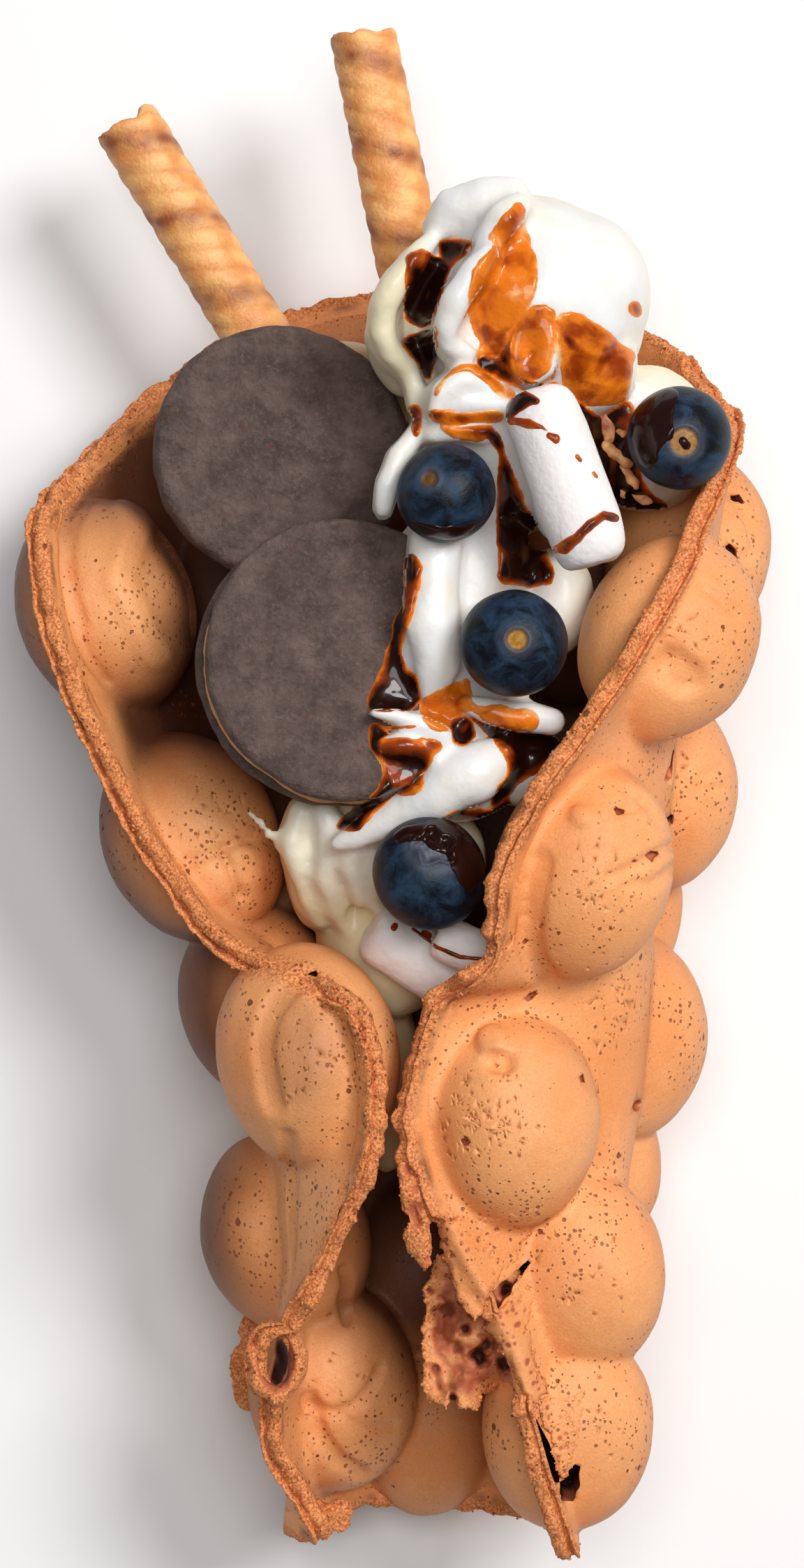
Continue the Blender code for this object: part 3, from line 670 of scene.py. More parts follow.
def baked_surface_group():
    """Pores, grain and uneven baking of the batter."""
    tree, given, result = group_tree(
        "baked_surface", {"Pore Scale": 1150.0, "Pore Size": 0.40, "Pore Share": 0.8},
        ("Pores", "Height", "Tone", "Grain"))
    place = object_place(tree)
    warp = add_node(tree, "ShaderNodeTexNoise", {"Vector": place, "Scale": 1400.0, "Detail": 1.0})
    shift = add_node(tree, "ShaderNodeVectorMath", {0: warp.outputs["Color"], 3: 0.0005}, operation="SCALE")
    bent = add_node(tree, "ShaderNodeVectorMath", {0: place, 1: shift.outputs[0]}, operation="ADD")
    bent = bent.outputs[0]
    patchy = step_between(tree, noise(tree, place, 62.0, 2.0), 0.40, 0.62)
    patchy = calculate(tree, "MULTIPLY_ADD", patchy, 0.85, 0.15)
    size = calculate(tree, "MULTIPLY", given.outputs["Pore Size"], patchy)
    fine = scattered_pores(tree, bent, given.outputs["Pore Scale"], 0, 1.6, size, 0.06)
    middling = scattered_pores(tree, bent, 430.0, 1, 7.0, calculate(tree, "MULTIPLY", patchy, 0.26), 0.03)
    large = scattered_pores(tree, bent, 150.0, 2, 14.0, 0.085, 0.012)
    fine = calculate(tree, "MULTIPLY", fine, given.outputs["Pore Share"])
    both = calculate(tree, "MAXIMUM", fine, calculate(tree, "MAXIMUM", middling, large))
    grain = noise(tree, place, 2300.0, 3.0, 0.65)
    tone = noise(tree, place, 42.0, 5.0, 0.6)
    height = calculate(tree, "MULTIPLY", grain, 0.45)
    soft = calculate(tree, "MULTIPLY", noise(tree, place, 420.0, 2.0), 0.5)
    height = calculate(tree, "SUBTRACT", calculate(tree, "ADD", height, soft), both)
    for name, socket in (("Pores", both), ("Height", height), ("Tone", tone), ("Grain", grain)):
        tree.links.new(socket, result.inputs[name])
    return tree


BAKED_SURFACE = baked_surface_group()


def attribute(tree, name):
    return add_node(tree, "ShaderNodeAttribute", attribute_name=name).outputs["Fac"]


def layers(tree, color, *coats):
    """Lay coats of colour over the first colour, each with its share."""
    for share, coat in coats:
        color = blend(tree, share, color, coat)
    return color


def finish(tree, shader, color, height, distance, roughness=None):
    """Give the shader its colour, its bumps and, where it changes, its roughness."""
    bump = add_node(tree, "ShaderNodeBump", {"Height": height, "Distance": distance, "Strength": 1.0})
    tree.links.new(color, shader.inputs["Base Color"])
    tree.links.new(bump.outputs["Normal"], shader.inputs["Normal"])
    if roughness:
        tree.links.new(roughness, shader.inputs["Roughness"])


def batter_material():
    """Baked batter: tan, browner where it is toasted, with dark pores and a rough broken rim; its shadowed
    sides, cuts, pores and the cone's deep hollow carry painted shade.
    """
    material, tree, shader = new_material("baked_batter", {"Specular IOR Level": 0.35})
    baked = add_node(tree, "ShaderNodeGroup", {"Pore Scale": 1150.0, "Pore Size": 0.40, "Pore Share": 0.8},
                     node_tree=BAKED_SURFACE)
    tone = step_between(tree, baked.outputs["Tone"], 0.33, 0.70)
    color = blend(tree, tone, srgb(250, 175, 113), srgb(238, 153, 91))
    mottled = step_between(tree, baked.outputs["Grain"], 0.30, 0.70)
    color = blend(tree, mottled, blend(tree, 0.20, color, srgb(170, 92, 44)), color)
    mottle = step_between(tree, baked.outputs["Grain"], 0.38, 0.62)
    rough_color = blend(tree, mottle, srgb(186, 100, 52), srgb(238, 158, 98))
    broken, inside = attribute(tree, "broken"), attribute(tree, "inside")
    # Painted shade: the toast layer turns the left outer bubbles and steep sides grey brown, the hollow
    # layer darkens the inside of the cone deep down, the deep end of the inside layer darkens cuts, pits and
    # cracks, and the pores are painted dark.
    color = layers(tree, color, (attribute(tree, "toast_and_shade"), srgb(108, 62, 40)),
                   (attribute(tree, "hollow"), srgb(74, 35, 19)), (broken, rough_color),
                   (step_between(tree, inside, 0.0, 0.5), srgb(192, 106, 70)),
                   (step_between(tree, inside, 0.45, 1.0), srgb(56, 22, 13)),
                   (baked.outputs["Pores"], srgb(132, 70, 38)))
    roughness = calculate(tree, "MULTIPLY_ADD", broken, 0.25, 0.52)
    finish(tree, shader, color, baked.outputs["Height"], 0.00022, roughness)
    return material


def nearest_to(places, targets):
    """Number and distance of the target that is nearest to each place."""
    tree = KDTree(len(targets))
    for number, target in enumerate(targets):
        tree.insert(target, number)
    tree.balance()
    found = [tree.find(place)[1:] for place in places]
    return np.array([number for number, _ in found]), np.array([distance for _, distance in found])


def rim_path(steps_per_side, corner):
    """Places across and along the sheet, once round its rim with rounded corners."""
    across, along = [], []
    corners = ((0, 1, 180), (1, 1, 90), (1, 0, 0), (0, 0, -90))
    straight = np.linspace(0, 1, steps_per_side, endpoint=False)
    turn_steps = steps_per_side // 12
    start = (0.0, corner)
    for x, y, angle in corners:
        middle = (x + corner * (1 - 2 * x), y + corner * (1 - 2 * y))
        angles = np.radians(angle - 90 * np.linspace(0, 1, turn_steps))
        arc_across = middle[0] + corner * np.cos(angles)
        arc_along = middle[1] + corner * np.sin(angles)
        across += list(start[0] + (arc_across[0] - start[0]) * straight) + list(arc_across)
        along += list(start[1] + (arc_along[0] - start[1]) * straight) + list(arc_along)
        start = (arc_across[-1], arc_along[-1])
    return np.array(across), np.array(along)


BATTER = batter_material()
rim_across, rim_along = rim_path(220, RIM_CORNER)
rim_middle = sheet_places(rim_across, rim_along)
skin = places_of(waffle_skin)
rim_distance = nearest_to(skin, rim_middle)[1]
set_value(waffle_skin, "broken", limit(1 - (rim_distance - 2.2) / 1.6))
# Painted shade: the outer bubbles at the lower left, which face away from the lamp, are turned grey brown,
# and the steep sides of every bubble are turned browner, partly as real browning and partly as painted
# shade; a patch round X -17, Y -44 is turned browner too.
left_outside_shade = limit((-20 - skin[:, 0]) / 12) * limit((54 - skin[:, 2]) / 10)
steep = limit((0.62 - normals_of(waffle_skin)[:, 2]) / 0.6)
crossed = limit(1.4 - np.hypot((skin[:, 0] + 17) / 8, (skin[:, 1] + 44) / 14)) * (skin[:, 2] > 45)
toast_and_shade = np.maximum(0.95 * left_outside_shade, 0.45 * crossed)
set_value(waffle_skin, "toast_and_shade", np.maximum(toast_and_shade, 0.26 * steep))
# The cut faces of pits, tears and holes are painted pinkish as the batter's spongy inside, and darker deeper
# in as painted shade; skin that lies below the surface at a tear or the rim's loop hole is darkened further
# as painted shadow.
cut_depth = np.array([skin_tree.find_nearest(place)[3] for place in skin]) - 0.12
cut_through = limit(cut_depth / 0.3)
cut_depth = limit(cut_depth / 1.6)
(hole_x, hole_y, _), (hole_width, hole_length, _), _ = HOLES[0]
LOOP_HOLE = ((hole_x, hole_y - hole_length / 2, hole_width), (hole_x, hole_y + hole_length / 2, hole_width))
mouths = TEARS + ((LOOP_HOLE, 9.0),)
torn = np.array([path_distance(skin[:, :2], path) for path, _ in mouths])
darkest = np.array([min(1.0, 0.5 + 0.06 * depth) for _, depth in mouths])[torn.argmin(axis=0)]
for number in np.flatnonzero((torn.min(axis=0) < 3.0) & (cut_through > 0)):
    below = top_at(skin_tree, *skin[number, :2], 0.0) - skin[number, 2]
    shadow = darkest[number] * cut_through[number] * min(max((below - 0.1) / 0.6, 0.0), 1.0)
    cut_depth[number] = max(cut_depth[number], shadow)
set_value(waffle_skin, "inside", cut_depth)
nearest = nearest_to(skin, sheet_middle)[0]
over_sheet = np.einsum("ij,ij->i", skin - sheet_middle[nearest], sheet_inward[nearest])
# Painted shade: skin on the inner face of the sheet is darkened lower down in the cone, where the hollow
# lies in shade.
hollow_shade = limit((44 - skin[:, 2]) / 14) * limit((skin[:, 1] + 34) / 8)
hollow_shade = np.maximum(hollow_shade, limit((43 - skin[:, 2]) / 10) * np.clip((skin[:, 1] + 108) / 18, 0.20, 1))
hollow_shade *= 1 - 0.7 * limit((skin[:, 1] - 36) / 12)
set_value(waffle_skin, "hollow", 0.92 * hollow_shade * limit(over_sheet / 1.5))
paint(waffle_skin, BATTER)
set_down(waffle_skin)
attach(waffle_skin, "root")
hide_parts("waffle")

# The rim. Where the sheet was torn and cut it shows its two thin baked skins with a crumbly crack
# between them. The edge is ragged all the way round, and crumbs cling to it.
RIM_STEP = 0.40
RIM_PROFILE = (
    (-4.6, -1.0), (-3.4, -1.42), (-2.2, -1.72), (-1.0, -1.88), (0.0, -1.90), (0.6, -1.84), (0.95, -1.66),
    (0.95, -1.44), (0.60, -1.22), (0.15, -1.08), (-0.15, -0.95), (-0.15, -0.82), (0.20, -0.66),
    (0.60, -0.45), (0.90, -0.10), (1.05, 0.35), (1.05, 0.85), (0.90, 1.30), (0.55, 1.68), (0.0, 1.86),
    (-1.0, 1.88), (-2.2, 1.72), (-3.4, 1.42), (-4.6, 1.0), (-4.9, 0.0),
)

# Flaps of skin that stand free along the tear, each as its outline (X, Y).
TORN_FLAPS = (
    ((5.6, -70.5), (5.9, -74.2), (7.4, -79.0), (8.7, -82.9), (10.5, -84.8), (11.7, -86.4), (12.9, -85.4),
     (13.4, -83.1), (15.2, -80.9), (17.2, -79.0), (19.0, -77.6), (20.0, -75.0), (21.3, -72.7),
     (23.2, -67.4), (19.2, -68.4), (14.3, -69.6), (9.5, -69.6)),
    ((21.3, -99.9), (19.0, -98.4), (18.1, -95.9), (17.3, -93.4), (15.9, -91.5), (14.9, -89.6),
     (13.1, -88.2), (15.4, -84.9), (17.4, -81.6), (20.2, -79.2), (22.0, -81.4), (21.0, -87.0),
     (22.0, -94.7), (24.2, -99.0)),
    ((22.0, -99.8), (25.1, -99.0), (30.0, -98.2), (29.6, -102.9), (29.3, -106.8), (28.2, -110.5),
     (26.3, -112.6), (25.1, -110.9), (24.3, -108.0), (23.2, -104.1)),
)


def even_path(across, along, step):
    """The rim's places across and along, respaced to even steps of length."""
    places = sheet_places(across, along)
    lengths = np.linalg.norm(np.roll(places, -1, axis=0) - places, axis=1)
    reached = np.concatenate([[0], np.cumsum(lengths)])
    wanted = np.linspace(0, reached[-1], int(reached[-1] / step), endpoint=False)
    closed_across = np.append(across, across[0])
    closed_along = np.append(along, along[0])
    return np.interp(wanted, reached, closed_across), np.interp(wanted, reached, closed_along)


def reach_inside(points, path):
    """How far flat points lie inside an outline, or inside a path with half widths."""
    if len(path[0]) == 3:
        reach = np.full(len(points), -9.0)
        for start, end in zip(path, path[1:]):
            start, end = np.array(start, float), np.array(end, float)
            run = end[:2] - start[:2]
            share = limit(((points - start[:2]) @ run) / (run @ run))
            gone = np.linalg.norm(points - start[:2] - share[:, None] * run, axis=1)
            reach = np.maximum(reach, start[2] + (end[2] - start[2]) * share - gone)
        return reach
    distance = path_distance(points, path + path[:1])
    inside = np.zeros(len(points), bool)
    for (ax, ay), (bx, by) in zip(path, path[1:] + path[:1]):
        if ay != by:
            crosses = (ay > points[:, 1]) != (by > points[:, 1])
            inside ^= crosses & (points[:, 0] < ax + (bx - ax) * (points[:, 1] - ay) / (by - ay))
    return np.where(inside, distance, -distance)


def make_rim():
    across, along = even_path(*rim_path(900, RIM_CORNER), RIM_STEP)
    middle = sheet_places(across, along)
    bulge = limit(1 - ((middle[:, 1] - hole_y) / (hole_length + 1.6)) ** 2) ** 0.5
    round_hole = hole_x - (hole_width + 1.4) * bulge
    by_hole = (bulge > 0) & (middle[:, 0] > round_hole) & (middle[:, 0] < hole_x + 8) & (middle[:, 2] > 40)
    middle[:, 0] = np.where(by_hole, round_hole, middle[:, 0])
    normal = sheet_axes(across, along)[2]
    run = unit(np.roll(middle, -2, axis=0) - np.roll(middle, 2, axis=0))
    outward = unit(np.cross(run, normal))
    inside = sheet_places(0.5 + (across - 0.5) * 0.97, 0.5 + (along - 0.5) * 0.97)
    outward *= np.sign(np.einsum("ij,ij->i", outward, middle - inside))[:, None]
    middle = middle + normal * waves(middle, *SOFT_WAVES)[:, None]
    ragged = waves(middle, (0.55, 8, 21), (0.80, 3.2, 22), (0.45, 1.4, 23))
    crack = np.clip(-0.10 + 1.5 * wobble(middle, 7, 24) + 0.9 * wobble(middle, 2.4, 25), 0, 2.0)
    torn = np.full(len(middle), 9.0)
    for path, _ in TEARS:
        torn = np.minimum(torn, path_distance(middle[:, :2], path))
    slot = path_distance(middle[:, :2], TEARS[2][0])
    narrow = np.maximum(limit(2.6 - slot / 2.2), by_hole)
    covered = np.max([reach_inside(middle[:, :2], outline) for outline in TORN_FLAPS], axis=0)
    under = limit((covered + 1.2) / 1.4)
    gone = np.maximum(limit(1.6 - torn / 1.6), under)
    length = np.cumsum(np.linalg.norm(middle - np.roll(middle, 1, axis=0), axis=1))
    rows = []
    for out, up in RIM_PROFILE:
        in_crack = max(0.0, 1 - abs(up + 0.9) / 0.5) if out > -1 else 0.0
        lip = math.exp(-((out - 0.7) / 1.3) ** 2)
        place = middle + normal * (up * (1 - 0.25 * gone))[:, None]
        reach = (out + 0.2) * (1 - 0.75 * np.maximum(gone, narrow * (out < 0)))
        reach -= 0.6 * gone + 1.2 * under + in_crack * crack * (1 - gone)
        reach += ragged * lip * (1 + 0.35 * np.sign(up)) * (1 - 0.5 * gone)
        place = place + outward * reach[:, None]
        streak = np.stack([length * 0.30, np.full(len(length), 1.6 * up), np.full(len(length), out)], axis=1)
        crumbs = 0.24 * wobble(streak, 1.0, 26) + 0.12 * wobble(place, 0.8, 27)
        rows.append(place + (outward + normal * np.sign(up + 0.01)) * (crumbs * (lip + 0.15))[:, None])
    places = np.stack(rows, axis=1).reshape(-1, 3)
    faces = grid_faces(len(middle), len(RIM_PROFILE), closed_across=True, closed_along=True)
    obj = mesh_object("waffle_rim", places, faces)
    lips = np.array([math.exp(-((out - 0.9) / 1.2) ** 2) for out, _ in RIM_PROFILE])
    # Painted shade: the crack between the two skins is darkened where it runs deep.
    deep = np.array([max(0.0, 1 - abs(up + 0.9) / 0.35) if out > -1 else 0.0 for out, up in RIM_PROFILE])
    set_value(obj, "broken", limit(np.tile(lips, len(middle)) * 1.6))
    set_value(obj, "inside", np.tile(deep, len(middle)) * np.repeat(limit(crack), len(deep)))
    lips = np.array([limit((abs(up) - 0.9) / 0.7) if out > -1.2 else 0.0 for out, up in RIM_PROFILE])
    browned = limit(0.45 + 0.8 * wobble(middle, 4, 28) + 0.4 * wobble(middle, 1.2, 29))
    set_value(obj, "toast_and_shade", 0.88 * np.tile(lips, len(middle)) * np.repeat(browned, len(lips)))
    return obj


def fix_normals(obj):
    bm = bmesh.new()
    bm.from_mesh(obj.data)
    bmesh.ops.remove_doubles(bm, verts=bm.verts, dist=1e-5)
    bmesh.ops.recalc_face_normals(bm, faces=bm.faces)
    bm.to_mesh(obj.data)
    bm.free()


waffle_rim = make_rim()
fix_normals(waffle_rim)

# Torn pieces of the sheet that still hang on near the tip: a broken bubble that shows its spongy
# inside, a hanging strip, and ragged scraps. Middle, half sizes, turn, and how deep its hollow is.
TORN_PIECES = (
    ((2.2, -69.2, 71.2), (2.3, 8.6, 2.0), 10, 0.8),
    ((-23.5, -97, 27), (5.3, 8.8, 2.3), -8, 0.0),
    ((-13.2, -123.2, 33), (5.0, 2.9, 1.7), 25, 0.0),
)
FLAP_PITCH = 0.22
FLAP_LIFT = 1.15
FLAP_LOWEST = 58
BROKEN_LAYER_LIFT = -2.4

# The broken bubble's inside below the flaps: its outline (X, Y), and its pits (X, Y, radius, depth).
BROKEN_OUTLINE = (
    (4.0, -80.9), (3.2, -82.4), (3.7, -85.3), (3.5, -87.7), (3.0, -90.1), (3.0, -92.6), (3.7, -95.4),
    (3.5, -98.2), (4.1, -100.2), (5.6, -100.7), (7.1, -101.0), (7.7, -99.8), (8.8, -99.9), (9.2, -101.2),
    (10.7, -101.0), (12.2, -101.0), (12.9, -99.5), (15.0, -99.3), (17.2, -99.1), (18.3, -98.9),
    (19.8, -97.4), (20.4, -93.4), (20.4, -87.7), (19.8, -80.4), (16.7, -77.1), (5.8, -76.7),
)
BROKEN_PITS = (
    (12.5, -93.2, 1.9, 3.6), (13.7, -90.9, 1.6, 2.2), (10.3, -88.4, 1.1, 2.4), (7.3, -85.3, 2.2, 1.5),
    (16.8, -94.2, 1.7, 2.6), (5.4, -95.0, 1.0, 1.4), (4.6, -82.6, 0.6, 0.9), (15.0, -87.7, 1.4, 2.6),
    (17.0, -82.4, 1.6, 2.6), (14.2, -84.4, 1.7, 2.6), (8.4, -99.4, 0.8, 2.6), (8.8, -91.8, 1.2, 0.9),
    (6.2, -89.2, 0.9, 0.8), (9.6, -96.2, 1.1, 0.8), (11.6, -85.6, 1.2, 1.4),
)
RIM_LOOP = {"middle": (-20.6, -94.5, 56), "half_width": 3.5, "half_length": 5.5, "thickness": 1.35}


def make_torn_piece(number, middle, half_sizes, turn, hollow):
    obj = add_ellipsoid("torn_%d" % number, middle, half_sizes, turn, 150, 100)
    places, normals = places_of(obj), normals_of(obj)
    away = (places - np.array(middle)) / np.array(half_sizes)
    flat = np.abs(away[:, :2])
    square = np.hypot(flat[:, 0], flat[:, 1]) / np.maximum((flat ** 3.4).sum(axis=1), 1e-9) ** (1 / 3.4)
    places[:, :2] = np.array(middle)[:2] + (places[:, :2] - np.array(middle)[:2]) * square[:, None] * 0.97
    bowl = hollow * np.exp(-((away[:, 0] / 0.62) ** 2 + (away[:, 1] / 0.62) ** 2)) * (away[:, 2] > 0)
    size = min(1.0, half_sizes[2] / 4)
    rough = waves(places, (1.3, 4.5, 31), (0.8, 2.0, 32), (0.22, 0.9, 33))
    rng = random.Random(41 + number)
    pits = np.zeros(len(places))
    for _ in range(34 if hollow else 12):
        centre = places[rng.randrange(len(places))]
        radius = rng.uniform(0.8, 2.4) * size ** 0.5
        distance = np.linalg.norm(places - centre, axis=1) / radius
        pits = np.maximum(pits, radius * 0.9 * limit(1 - distance ** 2))
    places += normals * (rough * (0.4 + 0.6 * size) - pits)[:, None]
    places[:, 2] -= bowl
    places[:, 2] = np.maximum(places[:, 2], FLOOR_HEIGHT)
    set_places(obj, places)
    set_value(obj, "broken", np.full(len(places), 1.0))
    # Painted shade in the pits and in the hollow bowl.
    set_value(obj, "inside", limit(pits / 0.9 + bowl / 3.0) * 0.6)
    return obj


def turns(steps):
    """Even angles once round."""
    return np.linspace(0, 2 * np.pi, steps, endpoint=False)


def make_rim_loop():
    """The rim curls once round a small hollow."""
    steps, sides = 90, 24
    around, about = flat_grid(turns(steps), turns(sides))
    out = RIM_LOOP["thickness"] * np.cos(about)
    places = np.stack([(RIM_LOOP["half_width"] + out) * np.cos(around),
                       (RIM_LOOP["half_length"] + out) * np.sin(around),
                       1.9 * RIM_LOOP["thickness"] * np.sin(about)], axis=1)
    places += np.array(RIM_LOOP["middle"])
    rough = waves(places, (0.55, 2.6, 51), (0.28, 1.0, 52))
    direction = unit(np.stack([np.cos(about) * np.cos(around), np.cos(about) * np.sin(around),
                               np.sin(about)], axis=1))
    places += direction * rough[:, None]
    obj = mesh_object("rim_loop", places, grid_faces(steps, sides, True, True))
    set_value(obj, "broken", limit(0.4 + 0.6 * np.sin(about)))
    # Painted shade on the inner side of the loop, which faces its hollow.
    set_value(obj, "inside", limit(-np.cos(about)) * 0.8)
    return obj


def even_out(values, known, passes, spread=False):
    """Average each known value with its known neighbours again and again, or spread them outward."""
    values = np.where(known, values, 0.0)
    weight = known.astype(float)
    for _ in range(passes):
        total, count = values * weight, weight.copy()
        for axis, step in ((0, 1), (0, -1), (1, 1), (1, -1)):
            total += np.roll(values * weight, step, axis)
            count += np.roll(weight, step, axis)
        mean = total / np.maximum(count, 1e-9)
        if spread:
            values = np.where(known, values, mean)
            weight = (count > 0).astype(float)
        else:
            values = np.where(known, mean, 0.0)
    return values


def grid_slab(name, x, y, top, foot, kept):
    """A closed mesh between two fields of heights, over the kept cells of a grid."""
    rows, columns = np.nonzero(kept)
    used = np.zeros(x.shape, bool)
    for i, j in ((0, 0), (0, 1), (1, 1), (1, 0)):
        used[rows + i, columns + j] = True
    count = int(used.sum())
    number = np.full(x.shape, -1)
    number[used] = np.arange(count)
    places = np.concatenate([np.stack([x[used], y[used], top[used]], axis=1),
                             np.stack([x[used], y[used], foot[used]], axis=1)])
    quads = np.stack([number[rows, columns], number[rows, columns + 1],
                      number[rows + 1, columns + 1], number[rows + 1, columns]], axis=1)
    edges = set()
    for quad in quads.tolist():
        for a, b in zip(quad, quad[1:] + quad[:1]):
            if (b, a) in edges:
                edges.remove((b, a))
            else:
                edges.add((a, b))
    walls = [(b, a, a + count, b + count) for a, b in sorted(edges)]
    faces = np.concatenate([quads, quads[:, ::-1] + count, np.array(walls)])
    return mesh_object(name, places, faces), used


def flat_field(ends, margin, pitch):
    """An even grid over these ends: X and Y as fields, and its flat places in a row."""
    low, high = np.min(ends, axis=0) - margin, np.max(ends, axis=0) + margin
    x, y = np.meshgrid(np.arange(low[0], high[0], pitch), np.arange(low[1], high[1], pitch))
    return x, y, np.stack([x.ravel(), y.ravel(), np.zeros(x.size)], axis=1)


def make_flap(number, outline, lift=FLAP_LIFT, pits=()):
    """A ragged piece of skin that stands free at the tear, or the spongy layer below it."""
    x, y, flat = flat_field(outline, 1.5, FLAP_PITCH)
    reach = reach_inside(flat[:, :2], outline)
    reach = (reach + 0.5 * wobble(flat, 1.4, 34) + 0.3 * wobble(flat, 0.7, 35)).reshape(x.shape)
    heights = np.array([top_at(skin_tree, a, b, 0.0) for a, b in flat[:, :2]]).reshape(x.shape)
    known = heights > FLAP_LOWEST
    level = even_out(even_out(heights, known, 90, True), np.ones(x.shape, bool), 18)
    right_rim = rim_middle[rim_across > 0.99] * np.array([1, 1, 0])
    past_rim = nearest_to(flat, right_rim)[1].reshape(x.shape)
    lifts = np.where(known, lift - 0.9 * limit((past_rim - 2.2) / 2.8), lift)
    worn = limit(reach / 1.1)
    grain = waves(flat, (0.16, 2.2, 36), (0.10, 0.8, 37))
    if pits:
        grain = waves(flat, (0.9, 3.0, 38), (0.5, 1.3, 39), (0.2, 0.7, 41))
        grain -= 1.3 * limit(reach.ravel() / 3)
    else:
        rng = random.Random(61 + number)
        pits = [(*flat[rng.randrange(len(flat)), :2], rng.uniform(0.2, 0.42), 0.5) for _ in range(110)]
    hollow_shade, dark = np.zeros(len(flat)), np.zeros(len(flat))
    ragged = 1 + 0.55 * wobble(flat, 1.2, 40) + 0.25 * wobble(flat, 0.6, 42)
    for a, b, radius, depth in pits:
        share = limit(1.2 - np.hypot(flat[:, 0] - a, flat[:, 1] - b) / radius / ragged)
        hollow_shade = np.maximum(hollow_shade, depth * share ** 0.8)
        dark = np.maximum(dark, limit(1.5 * share) * min(0.95, 0.55 + 0.15 * depth))
    top = level + even_out(lifts, np.ones(x.shape, bool), 6) - 0.8 * (1 - worn) ** 2
    top += (grain - hollow_shade).reshape(x.shape)
    foot = np.minimum(top, level + lift) - 0.5 - 1.9 * worn
    shape, used = grid_slab("flap_%d" % number, x, y, top, foot, reach[:-1, :-1] > 0)
    worn_used = np.tile(worn[used], 2)
    if lift < 0:
        worn_used = np.tile(limit(reach / 2.6)[used], 2)
        spongy = np.clip(0.40 + 0.5 * wobble(flat, 1.6, 43), 0.1, 0.6)
        dark = np.maximum(dark, spongy * limit((reach.ravel() - 1.2) / 1.4))
    set_value(shape, "broken", np.clip(1.05 - worn_used, 0.12, 1))
    # Painted shade: the pits and the underside of each piece are darkened; the spongy layer is also darker
    # in random blotches.
    dark = dark.reshape(x.shape)[used]
    set_value(shape, "inside", np.concatenate([dark, np.full(used.sum(), 0.7)]))
    return shape


torn_scraps = make_rim_loop()
join(torn_scraps, [make_torn_piece(number, *piece) for number, piece in enumerate(TORN_PIECES)])
join(torn_scraps, [make_flap(number, outline) for number, outline in enumerate(TORN_FLAPS)])
join(torn_scraps, [make_flap(3, BROKEN_OUTLINE, BROKEN_LAYER_LIFT, BROKEN_PITS)])
torn_scraps.name = "torn_scraps"
fix_normals(torn_scraps)


def crumb_tree():
    """Scatters small broken crumbs over a surface, thicker where it is marked as broken."""
    tree = bpy.data.node_groups.new("scatter_crumbs", "GeometryNodeTree")
    tree.interface.new_socket("Geometry", in_out="INPUT", socket_type="NodeSocketGeometry")
    for name, kind, value in (("Crumbs per Area", "NodeSocketFloat", 0.5),
                              ("Smallest", "NodeSocketFloat", 0.2),
                              ("Largest", "NodeSocketFloat", 0.5),
                              ("Seed", "NodeSocketInt", 1)):
        socket = tree.interface.new_socket(name, in_out="INPUT", socket_type=kind)
        socket.default_value = value
    tree.interface.new_socket("Material", in_out="INPUT", socket_type="NodeSocketMaterial")
    tree.interface.new_socket("Geometry", in_out="OUTPUT", socket_type="NodeSocketGeometry")
    given = tree.nodes.new("NodeGroupInput")
    result = tree.nodes.new("NodeGroupOutput")
    marked = add_node(tree, "GeometryNodeInputNamedAttribute", {"Name": "broken"}, data_type="FLOAT")
    power = add_node(tree, "ShaderNodeMath", {0: marked.outputs[0], 1: 3.0}, operation="POWER")
    density = add_node(tree, "ShaderNodeMath", {0: power.outputs[0], 1: given.outputs["Crumbs per Area"]},
                       operation="MULTIPLY")
    points = add_node(tree, "GeometryNodeDistributePointsOnFaces",
                      {"Mesh": given.outputs["Geometry"], "Density": density.outputs[0],
                       "Seed": given.outputs["Seed"]})
    crumb = add_node(tree, "GeometryNodeMeshIcoSphere", {"Radius": 1.0, "Subdivisions": 2})
    size = add_node(tree, "FunctionNodeRandomValue", data_type="FLOAT")
    tree.links.new(given.outputs["Smallest"], size.inputs[2])
    tree.links.new(given.outputs["Largest"], size.inputs[3])
    turn = add_node(tree, "FunctionNodeRandomValue", data_type="FLOAT_VECTOR")
    turn.inputs[1].default_value = (6.28, 6.28, 6.28)
    squash = add_node(tree, "FunctionNodeRandomValue", data_type="FLOAT_VECTOR")
    squash.inputs[0].default_value = (0.6, 0.6, 0.5)
    squash.inputs[1].default_value = (1.5, 1.2, 1.0)
    scale = add_node(tree, "ShaderNodeVectorMath", {0: squash.outputs[0], 3: size.outputs[1]},
                     operation="SCALE")
    placed = add_node(tree, "GeometryNodeInstanceOnPoints",
                      {"Points": points.outputs["Points"], "Instance": crumb.outputs["Mesh"],
                       "Rotation": turn.outputs[0], "Scale": scale.outputs[0]})
    real = add_node(tree, "GeometryNodeRealizeInstances", {"Geometry": placed.outputs["Instances"]})
    lumpy = add_node(tree, "ShaderNodeTexNoise", {"Scale": 2.6, "Detail": 2.0})
    centred = add_node(tree, "ShaderNodeVectorMath", {0: lumpy.outputs["Color"], 1: (0.5, 0.5, 0.5)},
                       operation="SUBTRACT")
    shift = add_node(tree, "ShaderNodeVectorMath", {0: centred.outputs[0], 3: 0.55}, operation="SCALE")
    moved = add_node(tree, "GeometryNodeSetPosition",
                     {"Geometry": real.outputs[0], "Offset": shift.outputs[0]})
    stored = add_node(tree, "GeometryNodeStoreNamedAttribute",
                      {"Geometry": moved.outputs[0], "Name": "broken", "Value": 1.0}, data_type="FLOAT")
    painted = add_node(tree, "GeometryNodeSetMaterial",
                       {"Geometry": stored.outputs[0], "Material": given.outputs["Material"]})
    tree.links.new(painted.outputs[0], result.inputs[0])
    return tree


CRUMB_TREE = crumb_tree()


